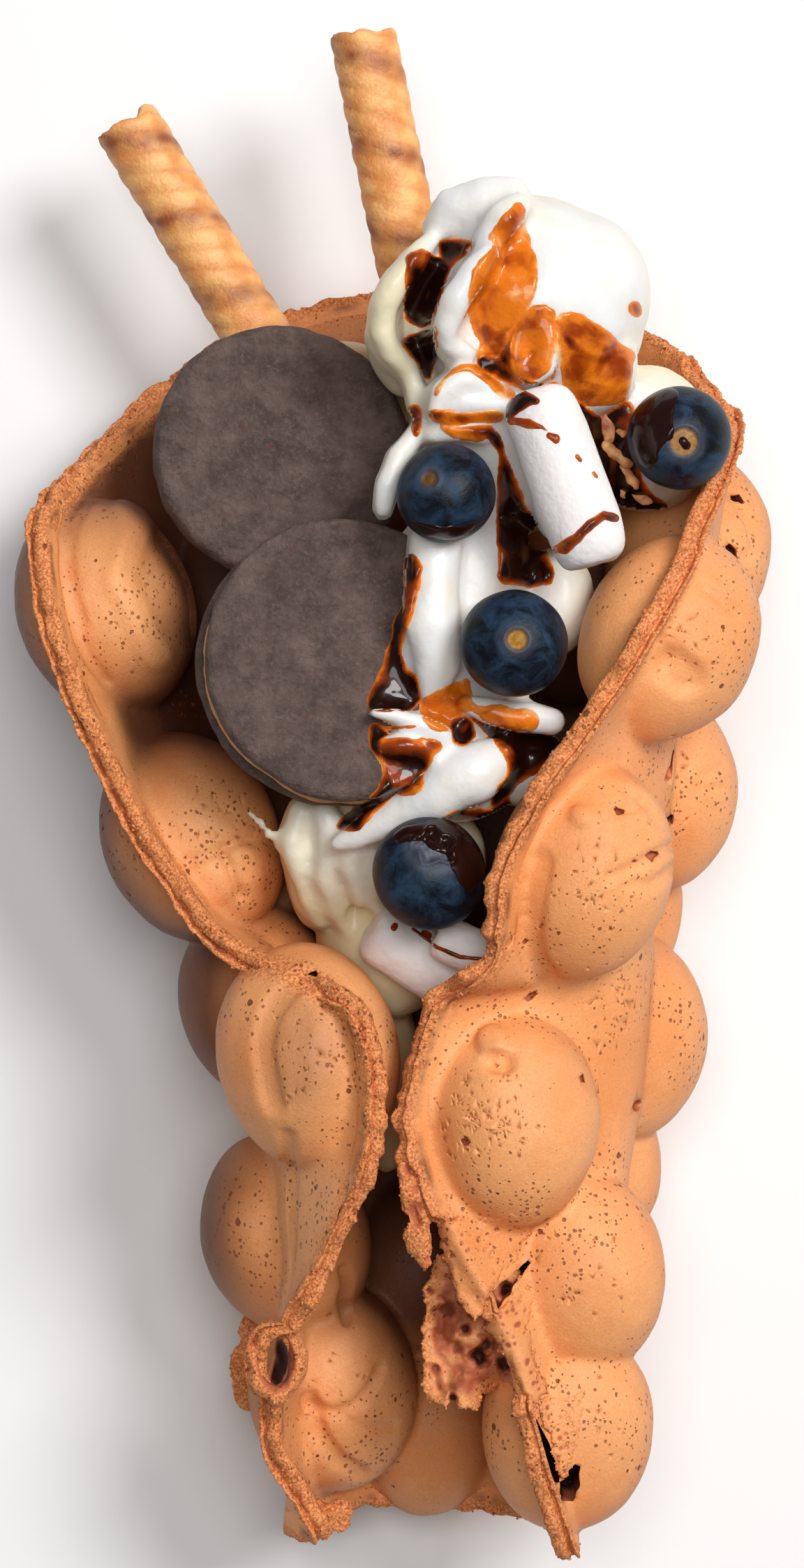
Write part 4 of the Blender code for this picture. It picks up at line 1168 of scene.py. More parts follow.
def scatter(name, host, values, material):
    """Make the scattered pieces that a node tree puts on a host mesh into a plain mesh object."""
    obj = add_object(name, host.data.copy())
    modifier = obj.modifiers.new("Scatter", "NODES")
    modifier.node_group = CRUMB_TREE
    for item in CRUMB_TREE.interface.items_tree:
        if item.in_out == "INPUT" and item.name in values:
            modifier[item.identifier] = values[item.name]
        if item.in_out == "INPUT" and item.name == "Material":
            modifier[item.identifier] = material
    freeze(obj)
    return obj


RIM_CRUMBS = {"Crumbs per Area": 0.36, "Smallest": 0.10, "Largest": 0.34, "Seed": 5}
TORN_CRUMBS = {"Crumbs per Area": 0.38, "Smallest": 0.10, "Largest": 0.36, "Seed": 6}
crumbs = scatter("rim_crumbs", waffle_rim, RIM_CRUMBS, BATTER)
join(crumbs, [scatter("torn_crumbs", torn_scraps, TORN_CRUMBS, BATTER)])
for obj in (waffle_rim, torn_scraps, crumbs):
    paint(obj, BATTER)
    set_down(obj)
    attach(obj, "root")
    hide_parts("waffle")

# The biscuits. Two round cocoa biscuits are pushed into the cream, a plain one behind and a
# sandwich of two thin wafers with a tan filling in front. They are matt, dark and finely cracked.
SMALL_BISCUIT = {"middle": (-20, 54.5, 50), "radius": 21.2, "lean": (0.10, 0.10, 1.0)}
SMALL_BISCUIT_THICKNESS = 6.0
LOWER_WAFER_SLIP = (-0.75, -0.25, 0.0)
LARGE_BISCUIT = {"middle": (-9.5, 19.8, 66), "radius": 23.0, "lean": (0.16, 0.14, 1.0)}
WAFER_THICKNESS = 3.6
FILLING_THICKNESS = 1.8
FILLING_INSET = 0.1
GAP = 0.35


def pointing_matrix(middle, direction):
    matrix = Vector(direction).to_track_quat("Z", "Y").to_matrix().to_4x4()
    matrix.translation = Vector(middle)
    return matrix


def turned(name, profile, sides, matrix, relief):
    """Turn a profile of (radius, height) points about its axis, then roughen its own places."""
    profile = np.array(profile, float)
    ring, turn = flat_grid(np.arange(1, len(profile) - 1), turns(sides))
    places = np.stack([profile[ring, 0] * np.cos(turn), profile[ring, 0] * np.sin(turn),
                       profile[ring, 1]], axis=1)
    rings = len(profile) - 2
    places = np.concatenate([places, [(0, 0, profile[0, 1])], [(0, 0, profile[-1, 1])]])
    faces = grid_faces(rings, sides, closed_across=True).tolist()
    for i in range(sides):
        j = (i + 1) % sides
        faces.append((rings * sides, j, i))
        faces.append((rings * sides + 1, (rings - 1) * sides + i, (rings - 1) * sides + j))
    obj = mesh_object(name, places, faces)
    fix_normals(obj)
    places, normals = places_of(obj), normals_of(obj)
    set_places(obj, places + normals * relief(places)[:, None])
    obj.data.transform(matrix)
    return obj


def disc_profile(radius, low, high, rounding, rings):
    """Half outline of a disc with round edges, from the middle of the top to that of the foot."""
    flat = np.linspace(0, radius - rounding, rings)
    turn = np.linspace(0, math.pi, 15)[1:-1]
    half = (high - low) / 2
    edge_radius = radius - rounding + rounding * np.sin(turn) ** 0.8
    edge_height = low + half + half * np.cos(turn)
    return ([(r, high) for r in flat] + list(zip(edge_radius, edge_height))
            + [(r, low) for r in flat[::-1]])


def biscuit_relief(depth):
    def relief(places):
        return depth * waves(places, (0.22, 7, 61), (0.17, 2.6, 62), (0.10, 1.3, 63))
    return relief


def cocoa_material():
    material, tree, shader = new_material("cocoa_biscuit", {"Roughness": 0.78, "Specular IOR Level": 0.3})
    place = object_place(tree)
    cells = add_node(tree, "ShaderNodeTexVoronoi", {"Vector": place, "Scale": 900.0}, feature="F1")
    speck = noise(tree, place, 1500.0, 4.0, 0.7)
    cloud = noise(tree, place, 170.0, 8.0, 0.72)
    red = step_between(tree, noise(tree, place, 620.0, 3.0), 0.66, 0.80)
    color = blend(tree, step_between(tree, cloud, 0.30, 0.76), srgb(80, 63, 58), srgb(122, 101, 94))
    specks = calculate(tree, "MULTIPLY", step_between(tree, speck, 0.50, 0.74), 0.55)
    color = layers(tree, color, (specks, srgb(128, 112, 104)), (red, srgb(112, 58, 50)))
    ridges = noise(tree, place, 300.0, 5.0, 0.62, 0.2)
    crack = calculate(tree, "ABSOLUTE", calculate(tree, "SUBTRACT", ridges, 0.5))
    crack = step_between(tree, crack, 0.0, 0.022)
    height = calculate(tree, "MULTIPLY", cells.outputs["Distance"], 0.6)
    height = calculate(tree, "ADD", height, calculate(tree, "MULTIPLY", cloud, 2.6))
    height = calculate(tree, "ADD", height, calculate(tree, "MULTIPLY", crack, 0.14))
    height = calculate(tree, "ADD", height, speck)
    finish(tree, shader, color, height, 0.00042)
    return material


def filling_material():
    material, tree, shader = new_material("tan_filling", {"Roughness": 0.6})
    cloud = noise(tree, object_place(tree), 500.0, 3.0)
    color = blend(tree, cloud, srgb(178, 118, 66), srgb(226, 174, 116))
    finish(tree, shader, color, cloud, 0.0003)
    return material


COCOA = cocoa_material()
FILLING = filling_material()
large_matrix = pointing_matrix(LARGE_BISCUIT["middle"], LARGE_BISCUIT["lean"])
lower_middle = Vector(LARGE_BISCUIT["middle"]) + Vector(LOWER_WAFER_SLIP)
half_filling = FILLING_THICKNESS / 2
wafer_low = half_filling + GAP - 0.3
DISCS = (
    ("plain_biscuit", "biscuit_1", "biscuit", COCOA, SMALL_BISCUIT["radius"],
     -SMALL_BISCUIT_THICKNESS / 2, SMALL_BISCUIT_THICKNESS / 2, 1.9, 1.0,
     pointing_matrix(SMALL_BISCUIT["middle"], SMALL_BISCUIT["lean"])),
    ("lower_wafer", "biscuit_2_base", "biscuit", COCOA, LARGE_BISCUIT["radius"],
     -wafer_low - WAFER_THICKNESS, -wafer_low, 1.5, 1.0,
     pointing_matrix(lower_middle, LARGE_BISCUIT["lean"])),
    ("biscuit_filling", "biscuit_2_filling", "filling", FILLING,
     LARGE_BISCUIT["radius"] - FILLING_INSET, -half_filling, half_filling, 0.8, 1.6, large_matrix),
    ("upper_wafer", "biscuit_2_top", "biscuit", COCOA, LARGE_BISCUIT["radius"],
     wafer_low, wafer_low + WAFER_THICKNESS, 1.5, 1.0, large_matrix),
)
biscuits = []
for name, node, slot, material, radius, low, high, rounding, depth, matrix in DISCS:
    disc = turned(name, disc_profile(radius, low, high, rounding, 44), 150, matrix, biscuit_relief(depth))
    paint(disc, material)
    biscuits.append(shape_of(disc))
    set_down(disc)
    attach(disc, "root")
    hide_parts(node)

# The cream. Soft whipped cream was spooned into the cone until it stands out of the mouth. It has
# folds, rolls and pulled tips, and it runs down between the toppings.
CREAM_VOXEL = 0.8
CREAM_TRIANGLES = 190000
CREAM_LUMPS = (
    ((21, 77, 58), (18.5, 19, 23.5)), ((15.5, 87.5, 60), (9.5, 10, 17)), ((29, 80, 61), (11.5, 13, 16)),
    ((1, 74.5, 54), (7, 11, 11)), ((18, 58, 50), (17, 17, 25)), ((40, 57, 50), (11, 12, 17)),
    ((5.4, 27, 64.5), (6.4, 13.5, 8.5)), ((8.5, 1.0, 61), (11, 7.5, 8)), ((20, 3, 58), (7, 7, 8)),
    ((-13, -13, 49), (6.5, 10, 8.5)), ((25, 30, 55), (7, 9, 9)), ((20.5, 70, 71), (6.5, 6.5, 8)),
    ((10.5, 61, 70), (7.5, 5.5, 8)), ((11, 31, 54), (11, 20, 16)), ((16, 22, 62), (8, 9, 9)),
    ((5, 16, 60), (8, 12, 8)), ((1, 6, 60), (6, 7, 7)), ((7, 14, 52), (13, 14, 18)),
    ((7, 4, 50), (14, 9, 14)), ((-13, -12, 45), (7, 12, 11)), ((-2, -9, 44), (14, 13, 13)),
    ((4, -12, 52), (10, 10, 8)), ((-2, -25, 42), (12, 14, 12)), ((-3, -49, 37), (6.5, 16, 8)),
    ((-15, 32, 34), (12, 18, 8)), ((-11, 60, 36), (18, 14, 8)), ((31.5, 67.5, 66), (6.8, 7.6, 7)),
    ((27, 45, 66), (6, 6, 5)),
)

# Folds, rolls, drips and tips: places along each (X, Y, Z) and its half width there.
CREAM_FOLDS = (
    ((4.7, 87.4, 72, 1.6), (1.6, 83.8, 74, 2.0), (-1.4, 80.1, 74, 2.2), (-2.8, 76.5, 73, 2.3),
     (-3.1, 72.5, 71.5, 2.5), (-1.8, 69.6, 70, 2.2), (1.0, 67.3, 69, 1.7), (2.0, 64.0, 68.5, 1.5),
     (2.3, 60.9, 69, 1.3)),
    ((13.8, 84.2, 83, 1.7), (11.6, 81.4, 83.5, 2.5), (8.6, 76.9, 83, 2.7), (7.1, 72.7, 81.5, 2.5),
     (7.4, 69.8, 80, 2.1), (10.7, 68.9, 79, 1.6)),
    ((13.7, 86.6, 80, 2.4), (16.3, 89.8, 80.5, 3.2), (18.4, 92.0, 79, 2.6)),
    ((6.7, 90.2, 71, 3.0), (8.4, 92.8, 72, 3.4), (12.4, 93.9, 73, 3.6), (17.1, 94.0, 73, 3.8)),
    ((18.4, 72.6, 79, 1.7), (20.1, 73.9, 79.5, 1.5), (22.5, 73.6, 79.5, 1.6), (23.6, 70.5, 79.5, 1.8),
     (23.1, 66.9, 79, 1.9), (20.4, 65.1, 78.5, 1.8), (18.3, 66.6, 78.5, 1.8), (17.9, 69.9, 79, 1.7),
     (18.4, 72.6, 79, 1.7)),
    ((5.3, 59.9, 78, 1.6), (6.4, 62.7, 78.5, 2.0), (9.1, 64.7, 78.5, 2.2), (12.0, 64.6, 78, 2.0),
     (14.7, 62.6, 77.5, 1.6)),
    ((6.0, 59.4, 76, 2.0), (9.7, 61.3, 77, 2.4), (13.7, 61.0, 77, 2.2), (17.1, 60.0, 76, 1.8)),
    ((5.0, 56.1, 74, 1.6), (9.0, 56.7, 75, 2.0), (13.1, 56.1, 75, 1.8)),
    ((2.6, 56.9, 72, 1.5), (-0.4, 52.8, 73, 1.8), (-2.3, 48.1, 73.5, 1.9), (-3.0, 44.0, 73, 1.6)),
    ((4.9, 38.5, 71, 4.6), (4.9, 31.5, 72, 5.0), (4.5, 25.6, 72.5, 5.2), (5.6, 19.8, 71.5, 4.4),
     (4.9, 15.1, 70, 2.8)),
    ((2.1, 27.1, 71, 2.2), (0.7, 22.7, 71, 2.2), (1.1, 18.7, 70, 1.6)),
    ((-4.9, 11.3, 75.4, 0.7), (-1.3, 11.0, 74.4, 1.4), (2.7, 9.7, 73, 1.8), (6.4, 7.8, 72, 2.0)),
    ((-2.8, 6.3, 72.9, 1.8), (1.6, 6.1, 73, 2.2), (4.9, 4.8, 72, 1.6)),
    ((15.5, 4.1, 69, 3.4), (11.1, 1.9, 70, 5.2), (5.6, -1.4, 69.0, 4.8), (-0.9, -5.0, 67, 3.6),
     (-6.5, -8.0, 65.5, 2.5), (-10.4, -9.6, 64.5, 1.6)),
    ((10.0, 12.9, 71, 1.6), (14.4, 11.8, 71, 2.3), (19.5, 10.7, 70.5, 2.6), (24.3, 10.0, 69.5, 2.2)),
    ((-16.4, -4.6, 58, 2.3), (-17.8, -9.0, 57.8, 2.5), (-16.6, -14.0, 56, 2.6), (-15.2, -19.5, 53, 1.9),
     (-13.4, -22.8, 51, 1.1)),
    ((-12.4, -5.0, 60, 2.2), (-11.2, -10.0, 59.5, 2.7), (-12.8, -14.6, 57.5, 2.4),
     (-10.8, -20.0, 54.5, 1.8), (-9.4, -23.8, 52, 1.0)),
    ((-4.6, -6.5, 64.5, 2.4), (-8.0, -9.6, 62.8, 2.3), (-8.8, -12.6, 61, 1.8), (-7.4, -15.6, 59, 1.5),
     (-7.0, -19.4, 57.4, 0.8)),
    ((-5.4, -10.0, 61, 2.0), (-3.8, -14.6, 59, 1.9), (-4.8, -18.2, 57, 1.5), (-3.4, -22.4, 54, 1.0)),
)
FOLD_LAYERS = 3
FOLD_SPACING = 0.9
SHEET_REACH = 14
SHEET_CLEARANCE = 0.4

# Dabs of cream on the bubble beside the opening: place (X, Y, Z) and half width.
CREAM_DABS = (
    (-24.7, -5.0, 58.6, 1.1), (-23.0, -6.2, 58.6, 1.3), (-21.6, -8.2, 57.6, 1.3), (-20.6, -10.0, 56.2, 1.1),
)


def fold_spheres(fold):
    """Overlapping balls along a fold, as middles and half widths."""
    balls = []
    for start, end in zip(fold, fold[1:]):
        start, end = np.array(start, float), np.array(end, float)
        steps = max(2, int(np.linalg.norm(end[:3] - start[:3]) / FOLD_SPACING))
        for share in np.linspace(0, 1, steps, endpoint=False):
            balls.append(start + (end - start) * share)
    balls.append(np.array(fold[-1], float))
    return balls


def hold_inside(places):
    """Bring back what reaches through the sheet from the inside."""
    for number, (index, distance) in enumerate(zip(*nearest_to(places, sheet_middle))):
        if distance < SHEET_REACH:
            height = float(np.dot(places[number] - sheet_middle[index], sheet_inward[index]))
            if height < SHEET_CLEARANCE:
                places[number] += sheet_inward[index] * (SHEET_CLEARANCE - height)
    return places


def unit_ball(subdivisions):
    bm = bmesh.new()
    bmesh.ops.create_icosphere(bm, subdivisions=subdivisions, radius=1.0)
    places = np.array([vertex.co[:] for vertex in bm.verts])
    faces = np.array([[vertex.index for vertex in face.verts] for face in bm.faces])
    bm.free()
    return places, faces


def make_cream():
    places, faces, count = [], [], 0
    balls = [(middle, half_sizes, 4) for middle, half_sizes in CREAM_LUMPS]
    for fold in CREAM_FOLDS:
        for ball in fold_spheres(fold):
            for layer in range(FOLD_LAYERS):
                place = ball[:3] - np.array([0, 0, 1.3 * layer * ball[3]])
                balls.append((place, (ball[3] * (1 + 0.12 * layer),) * 3, 2))
    balls += [(place, (width, width, 0.6 * width), 2) for *place, width in CREAM_DABS]
    shapes = {subdivisions: unit_ball(subdivisions) for subdivisions in (2, 4)}
    for middle, half_sizes, subdivisions in balls:
        ball_places, ball_faces = shapes[subdivisions]
        places.append(ball_places * np.array(half_sizes) + np.array(middle))
        faces.append(ball_faces + count)
        count += len(ball_places)
    obj = mesh_object("whipped_cream", np.concatenate(places), np.concatenate(faces))
    melt(obj, CREAM_VOXEL, 5)
    places, normals = places_of(obj), normals_of(obj)
    strokes = places * np.array([1.0, 0.35, 1.0])
    relief = 0.45 * wobble(places, 8, 71) + 0.22 * wobble(places, 3.6, 72) + 0.07 * wobble(strokes, 1.5, 73)
    places = hold_inside(places + normals * relief[:, None])
    set_places(obj, places)
    thin_out(obj, CREAM_TRIANGLES)
    places = places_of(obj)
    # Painted shade: the cream is turned ivory lower down and on the left lip, and a darker brownish ivory
    # where it lies deepest in the cone.
    low = limit((66 - places[:, 2]) / 12)
    lip = 0.8 * limit((6 - places[:, 0]) / 5) * limit((places[:, 1] - 56) / 6)
    set_value(obj, "low", np.maximum(low, lip))
    set_value(obj, "deep", limit((54 - places[:, 2]) / 8))
    return obj


def cream_material():
    material, tree, shader = new_material("whipped_cream", {
        "Roughness": 0.38, "Subsurface Weight": 0.35, "Subsurface Radius": (0.004, 0.0032, 0.002),
        "Subsurface Scale": 1.0})
    place = object_place(tree)
    cloud = step_between(tree, noise(tree, place, 90.0, 3.0), 0.40, 0.72)
    # Painted shade: the low and deep layers turn the cream ivory and brownish where it lies in shade.
    color = layers(tree, srgb(235, 234, 232), (cloud, srgb(235, 229, 216)),
                   (attribute(tree, "low"), srgb(236, 221, 180)),
                   (attribute(tree, "deep"), srgb(196, 168, 124)))
    finish(tree, shader, color, noise(tree, place, 700.0, 2.0), 0.00012)
    return material


cream = make_cream()
paint(cream, cream_material())
cream_shape = shape_of(cream)
set_down(cream)
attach(cream, "root")
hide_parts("cream")

# The rolled wafer sticks. Thin sweet batter is wound hot round a rod, so each turn overlaps the
# last as a low ridge. Brown bands run round, the ends are broken, and the middle is hollow.
STICKS = (
    ((-13.1, 57, 33.5), (-46.6, 111.5, 33), 0.35),
    ((5.5, 66, 40), (-6.7, 125.4, 42), 0.62),
)
STICK_RADIUS = 5.5
STICK_PITCH = 3.8
STICK_STARTS = 4
STICK_BORE = 3.9
STICK_BORE_DEPTH = 14
STICK_RING_STEP = 0.42
BAND_SPACING = 15.2


def make_stick(name, low, high, band_start, number):
    low, high = Vector(low), Vector(high)
    length = (high - low).length
    sides, rings = 72, int(length / STICK_RING_STEP)
    height, turn = flat_grid(np.linspace(0, length, rings), turns(sides))
    phase = (height / STICK_PITCH + STICK_STARTS * turn / (2 * np.pi)) % 1.0
    flat = np.stack([np.cos(turn) * 5, np.sin(turn) * 5, height], axis=1)
    pillow = np.sqrt(limit(np.sin(np.pi * phase)))
    lean = 0.22 * (phase - 0.5)
    radius = STICK_RADIUS - 0.20 + 0.34 * pillow + lean + 0.16 * wobble(flat, 3.5, 80 + number)
    end = limit((height - (length - 2.6)) / 2.6)
    around = np.stack([np.cos(turn) * 4, np.sin(turn) * 4, 0 * turn], axis=1)
    ragged = waves(around, (0.8, 2.2, 85 + number), (0.35, 0.9, 87 + number))
    height = height + end * (ragged - 0.7)
    radius = radius - 0.25 * end ** 2
    outer = np.stack([radius * np.cos(turn), radius * np.sin(turn), height], axis=1)
    bore_rings = 30
    down, bore_turn = flat_grid(np.linspace(0, 1, bore_rings), turns(sides))
    wall = STICK_BORE + 0.25 * np.sin(3 * bore_turn) + 0.2 * np.cos(2 * bore_turn - 12 * down)
    top = length - 0.7 + np.tile(ragged[-sides:], bore_rings)
    bore = np.stack([wall * np.cos(bore_turn), wall * np.sin(bore_turn),
                     top - STICK_BORE_DEPTH * down], axis=1)
    places = np.concatenate([outer, bore, [(0, 0, 0)], [(0, 0, length - STICK_BORE_DEPTH - 1)]])
    count = len(outer)
    faces = grid_faces(rings, sides, closed_across=True).tolist()
    faces += (grid_faces(bore_rings, sides, closed_across=True) + count).tolist()
    last, foot = (rings - 1) * sides, count + (bore_rings - 1) * sides
    for i in range(sides):
        j = (i + 1) % sides
        faces.append((last + i, last + j, count + j, count + i))
        faces.append((len(places) - 2, j, i))
        faces.append((foot + i, foot + j, len(places) - 1))
    obj = mesh_object(name, places, faces)
    along = height / BAND_SPACING + turn / (2 * np.pi) + band_start
    band = np.exp(-(((along % 1.0) - 0.5) / 0.11) ** 2)
    band = band * (0.80 + 0.5 * wobble(flat, 2.0, 90 + number))
    # Painted shade: the grooves between the turns are darkened, and the inside of the bore is darkened with
    # part of the groove's tone and the band's brown.
    rest = np.ones(len(bore) + 2)
    set_value(obj, "band", limit(np.concatenate([band, 0.3 * rest])))
    set_value(obj, "groove", limit(np.concatenate([1 - pillow, 0.6 * rest])))
    obj.data.transform(pointing_matrix(low, high - low))
    fix_normals(obj)
    return obj


def stick_material():
    material, tree, shader = new_material("rolled_wafer", {"Roughness": 0.5})
    place = object_place(tree)
    cloud = noise(tree, place, 260.0, 4.0)
    # Painted shade in the grooves between the turns and inside the bore; the bands are the wafer's own
    # brown.
    groove = calculate(tree, "MULTIPLY", attribute(tree, "groove"), 0.55)
    color = layers(tree, srgb(250, 188, 116), (step_between(tree, cloud, 0.36, 0.66), srgb(230, 152, 84)),
                   (groove, srgb(196, 116, 56)), (attribute(tree, "band"), srgb(152, 80, 44)))
    height = calculate(tree, "ADD", noise(tree, place, 1600.0, 2.0), cloud)
    finish(tree, shader, color, height, 0.00018)
    return material


ROLLED_WAFER = stick_material()
for number, (low, high, band_start) in enumerate(STICKS, 1):
    stick = make_stick("rolled_wafer_%d" % number, low, high, band_start, number)
    paint(stick, ROLLED_WAFER)
    set_down(stick)
    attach(stick, "root")
    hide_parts("wafer_stick_%d" % number)

# The marshmallows. Soft white ropes of marshmallow, cut into pieces and pushed into the cream.
# Their skin is matt and powdery, with shallow wrinkles.
MARSHMALLOWS = (
    ((21.3, 61, 84), (30.3, 36.2, 85), 6.4),
    ((-4, -24.5, 56), (14, -35, 52), 5.8),
    ((6.5, -25, 62.5), (14.5, -28.5, 62.5), 3.8),
)


def marshmallow_profile(half, radius):
    """Half outline of a soft drum with round ends and a slight waist."""
    points = []
    for step in range(61):
        angle = math.pi * step / 60
        across = abs(math.sin(angle)) ** 0.42
        up = math.copysign(abs(math.cos(angle)) ** 0.46, math.cos(angle))
        waist = 1 - 0.035 * (1 - up * up)
        points.append((radius * across * waist, half * up))
    points[0], points[-1] = (0, half), (0, -half)
    return points


def marshmallow_relief(places):
    wrinkles = 0.13 * wobble(places * np.array([1.0, 1.0, 0.45]), 2.0, 102)
    return 0.28 * wobble(places, 5, 101) + wrinkles + 0.05 * wobble(places, 0.9, 103)


def marshmallow_material():
    material, tree, shader = new_material("marshmallow_skin", {
        "Roughness": 0.62, "Subsurface Weight": 0.3, "Subsurface Radius": (0.003, 0.0024, 0.002),
        "Subsurface Scale": 1.0})
    place = object_place(tree)
    color = blend(tree, noise(tree, place, 160.0, 2.0), srgb(243, 239, 237), srgb(236, 227, 224))
    finish(tree, shader, color, noise(tree, place, 900.0, 3.0), 0.0002)
    return material


MARSHMALLOW = marshmallow_material()
marshmallow_shapes = []
for number, (low, high, radius) in enumerate(MARSHMALLOWS, 1):
    low, high = Vector(low), Vector(high)
    half = (high - low).length / 2 + radius * 0.25
    matrix = pointing_matrix((low + high) / 2, high - low)
    piece = turned("marshmallow_piece_%d" % number, marshmallow_profile(half, radius), 90, matrix,
                   marshmallow_relief)
    paint(piece, MARSHMALLOW)
    marshmallow_shapes.append(shape_of(piece))
    set_down(piece)
    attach(piece, "root")
    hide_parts("marshmallow_%d" % number)

# The blueberries. Fresh berries with a dark blue skin under a pale bloom. Three show the small
# round scar of the stem, and the lowest shows the rough star of its flower end.
BERRIES = (
    ((7, 46.5, 78), 8.0, (-0.35, 0.25, 0.9), 0.16, "stem"),
    ((17.8, 22.4, 79.4), 8.6, (0.05, 0.05, 1.0), 0.19, "stem"),
    ((44.5, 55.6, 73), 8.3, (0.05, -0.15, 1.0), 0.27, "stem"),
    ((4.4, -14.4, 71), 9.2, (0.1, 0.55, 0.85), 0.36, "flower"),
)


def make_berry(name, middle, radius, direction, scar, kind, number):
    sides, rings = 96, 84
    polar = np.pi * (np.linspace(0, 1, rings + 1) ** 1.35)
    t, a = flat_grid(polar[1:-1], turns(sides))
    t, a = np.append(t, [0, np.pi]), np.append(a, [0, 0])
    ball = np.stack([np.sin(t) * np.cos(a), np.sin(t) * np.sin(a), np.cos(t)], axis=1)
    reach = 1 + 0.018 * wobble(ball, 0.8, 110 + number) + 0.006 * wobble(ball, 0.3, 112 + number)
    if kind == "stem":
        lip = 0.020 * np.exp(-((t - scar * 1.25) / 0.06) ** 2)
        dish = -0.035 / (1 + np.exp((t - scar) / 0.012)) + 0.018 * np.exp(-(t / (0.45 * scar)) ** 2)
        scarred = 1 / (1 + np.exp((t - scar * 0.96) / 0.014))
    else:
        edge = scar * (1 + 0.16 * np.cos(5 * a) + 0.10 * wobble(ball, 0.12, 114))
        lip = 0.085 * np.exp(-((t - edge) / 0.045) ** 2) * (0.7 + 0.5 * wobble(ball, 0.10, 115))
        dish = -0.10 / (1 + np.exp((t - edge * 0.9) / 0.03))
        dish += 0.05 * np.exp(-(t / 0.09) ** 2) + 0.03 * wobble(ball, 0.09, 116) * (t < edge)
        scarred = limit(1.2 - t / (edge * 1.15))
    reach = reach + lip + dish
    places = ball * reach[:, None] * radius * np.array([1, 1, 0.95])
    body = (rings - 1) * sides
    faces = grid_faces(rings - 1, sides, closed_across=True).tolist()
    for i in range(sides):
        j = (i + 1) % sides
        faces.append((body, i, j))
        faces.append((body + 1, body - sides + j, body - sides + i))
    obj = mesh_object(name, places, faces)
    set_value(obj, "scar", limit(scarred))
    set_value(obj, "ring", np.exp(-((t - scar * 1.35) / 0.10) ** 2))
    fix_normals(obj)
    obj.data.transform(pointing_matrix(middle, direction))
    return obj


def berry_material(kind, scar_color):
    material, tree, shader = new_material("blueberry_%s" % kind, {"Specular IOR Level": 0.20})
    place = object_place(tree)
    fine = noise(tree, place, 1400.0, 3.0, 0.7)
    bloom = step_between(tree, noise(tree, place, 190.0, 5.0, 0.68, 0.8), 0.36, 0.70)
    bloom = calculate(tree, "MULTIPLY", bloom, calculate(tree, "MULTIPLY_ADD", fine, 0.7, 0.5))
    ring = calculate(tree, "MULTIPLY", attribute(tree, "ring"), 0.38)
    scar_tone = blend(tree, fine, srgb(70, 48, 26), scar_color)
    color = layers(tree, srgb(9, 13, 19), (bloom, srgb(40, 64, 88)), (ring, srgb(86, 90, 104)),
                   (attribute(tree, "scar"), scar_tone))
    roughness = calculate(tree, "MULTIPLY_ADD", bloom, 0.20, 0.36)
    finish(tree, shader, color, fine, 0.00008, roughness)
    return material


SCARS = (("dull", (122, 84, 40)), ("yellow", (206, 142, 16)), ("pale", (206, 150, 84)),
         ("star", (120, 132, 150)))
berry_shapes = []
for number, (middle, radius, direction, scar, kind) in enumerate(BERRIES, 1):
    berry = make_berry("berry_%d" % number, middle, radius, direction, scar, kind, number)
    tone, scar_color = SCARS[number - 1]
    paint(berry, berry_material(tone, srgb(*scar_color)))
    berry_shapes.append(shape_of(berry))
    set_down(berry)
    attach(berry, "root")
    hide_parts("blueberry_%d" % number)

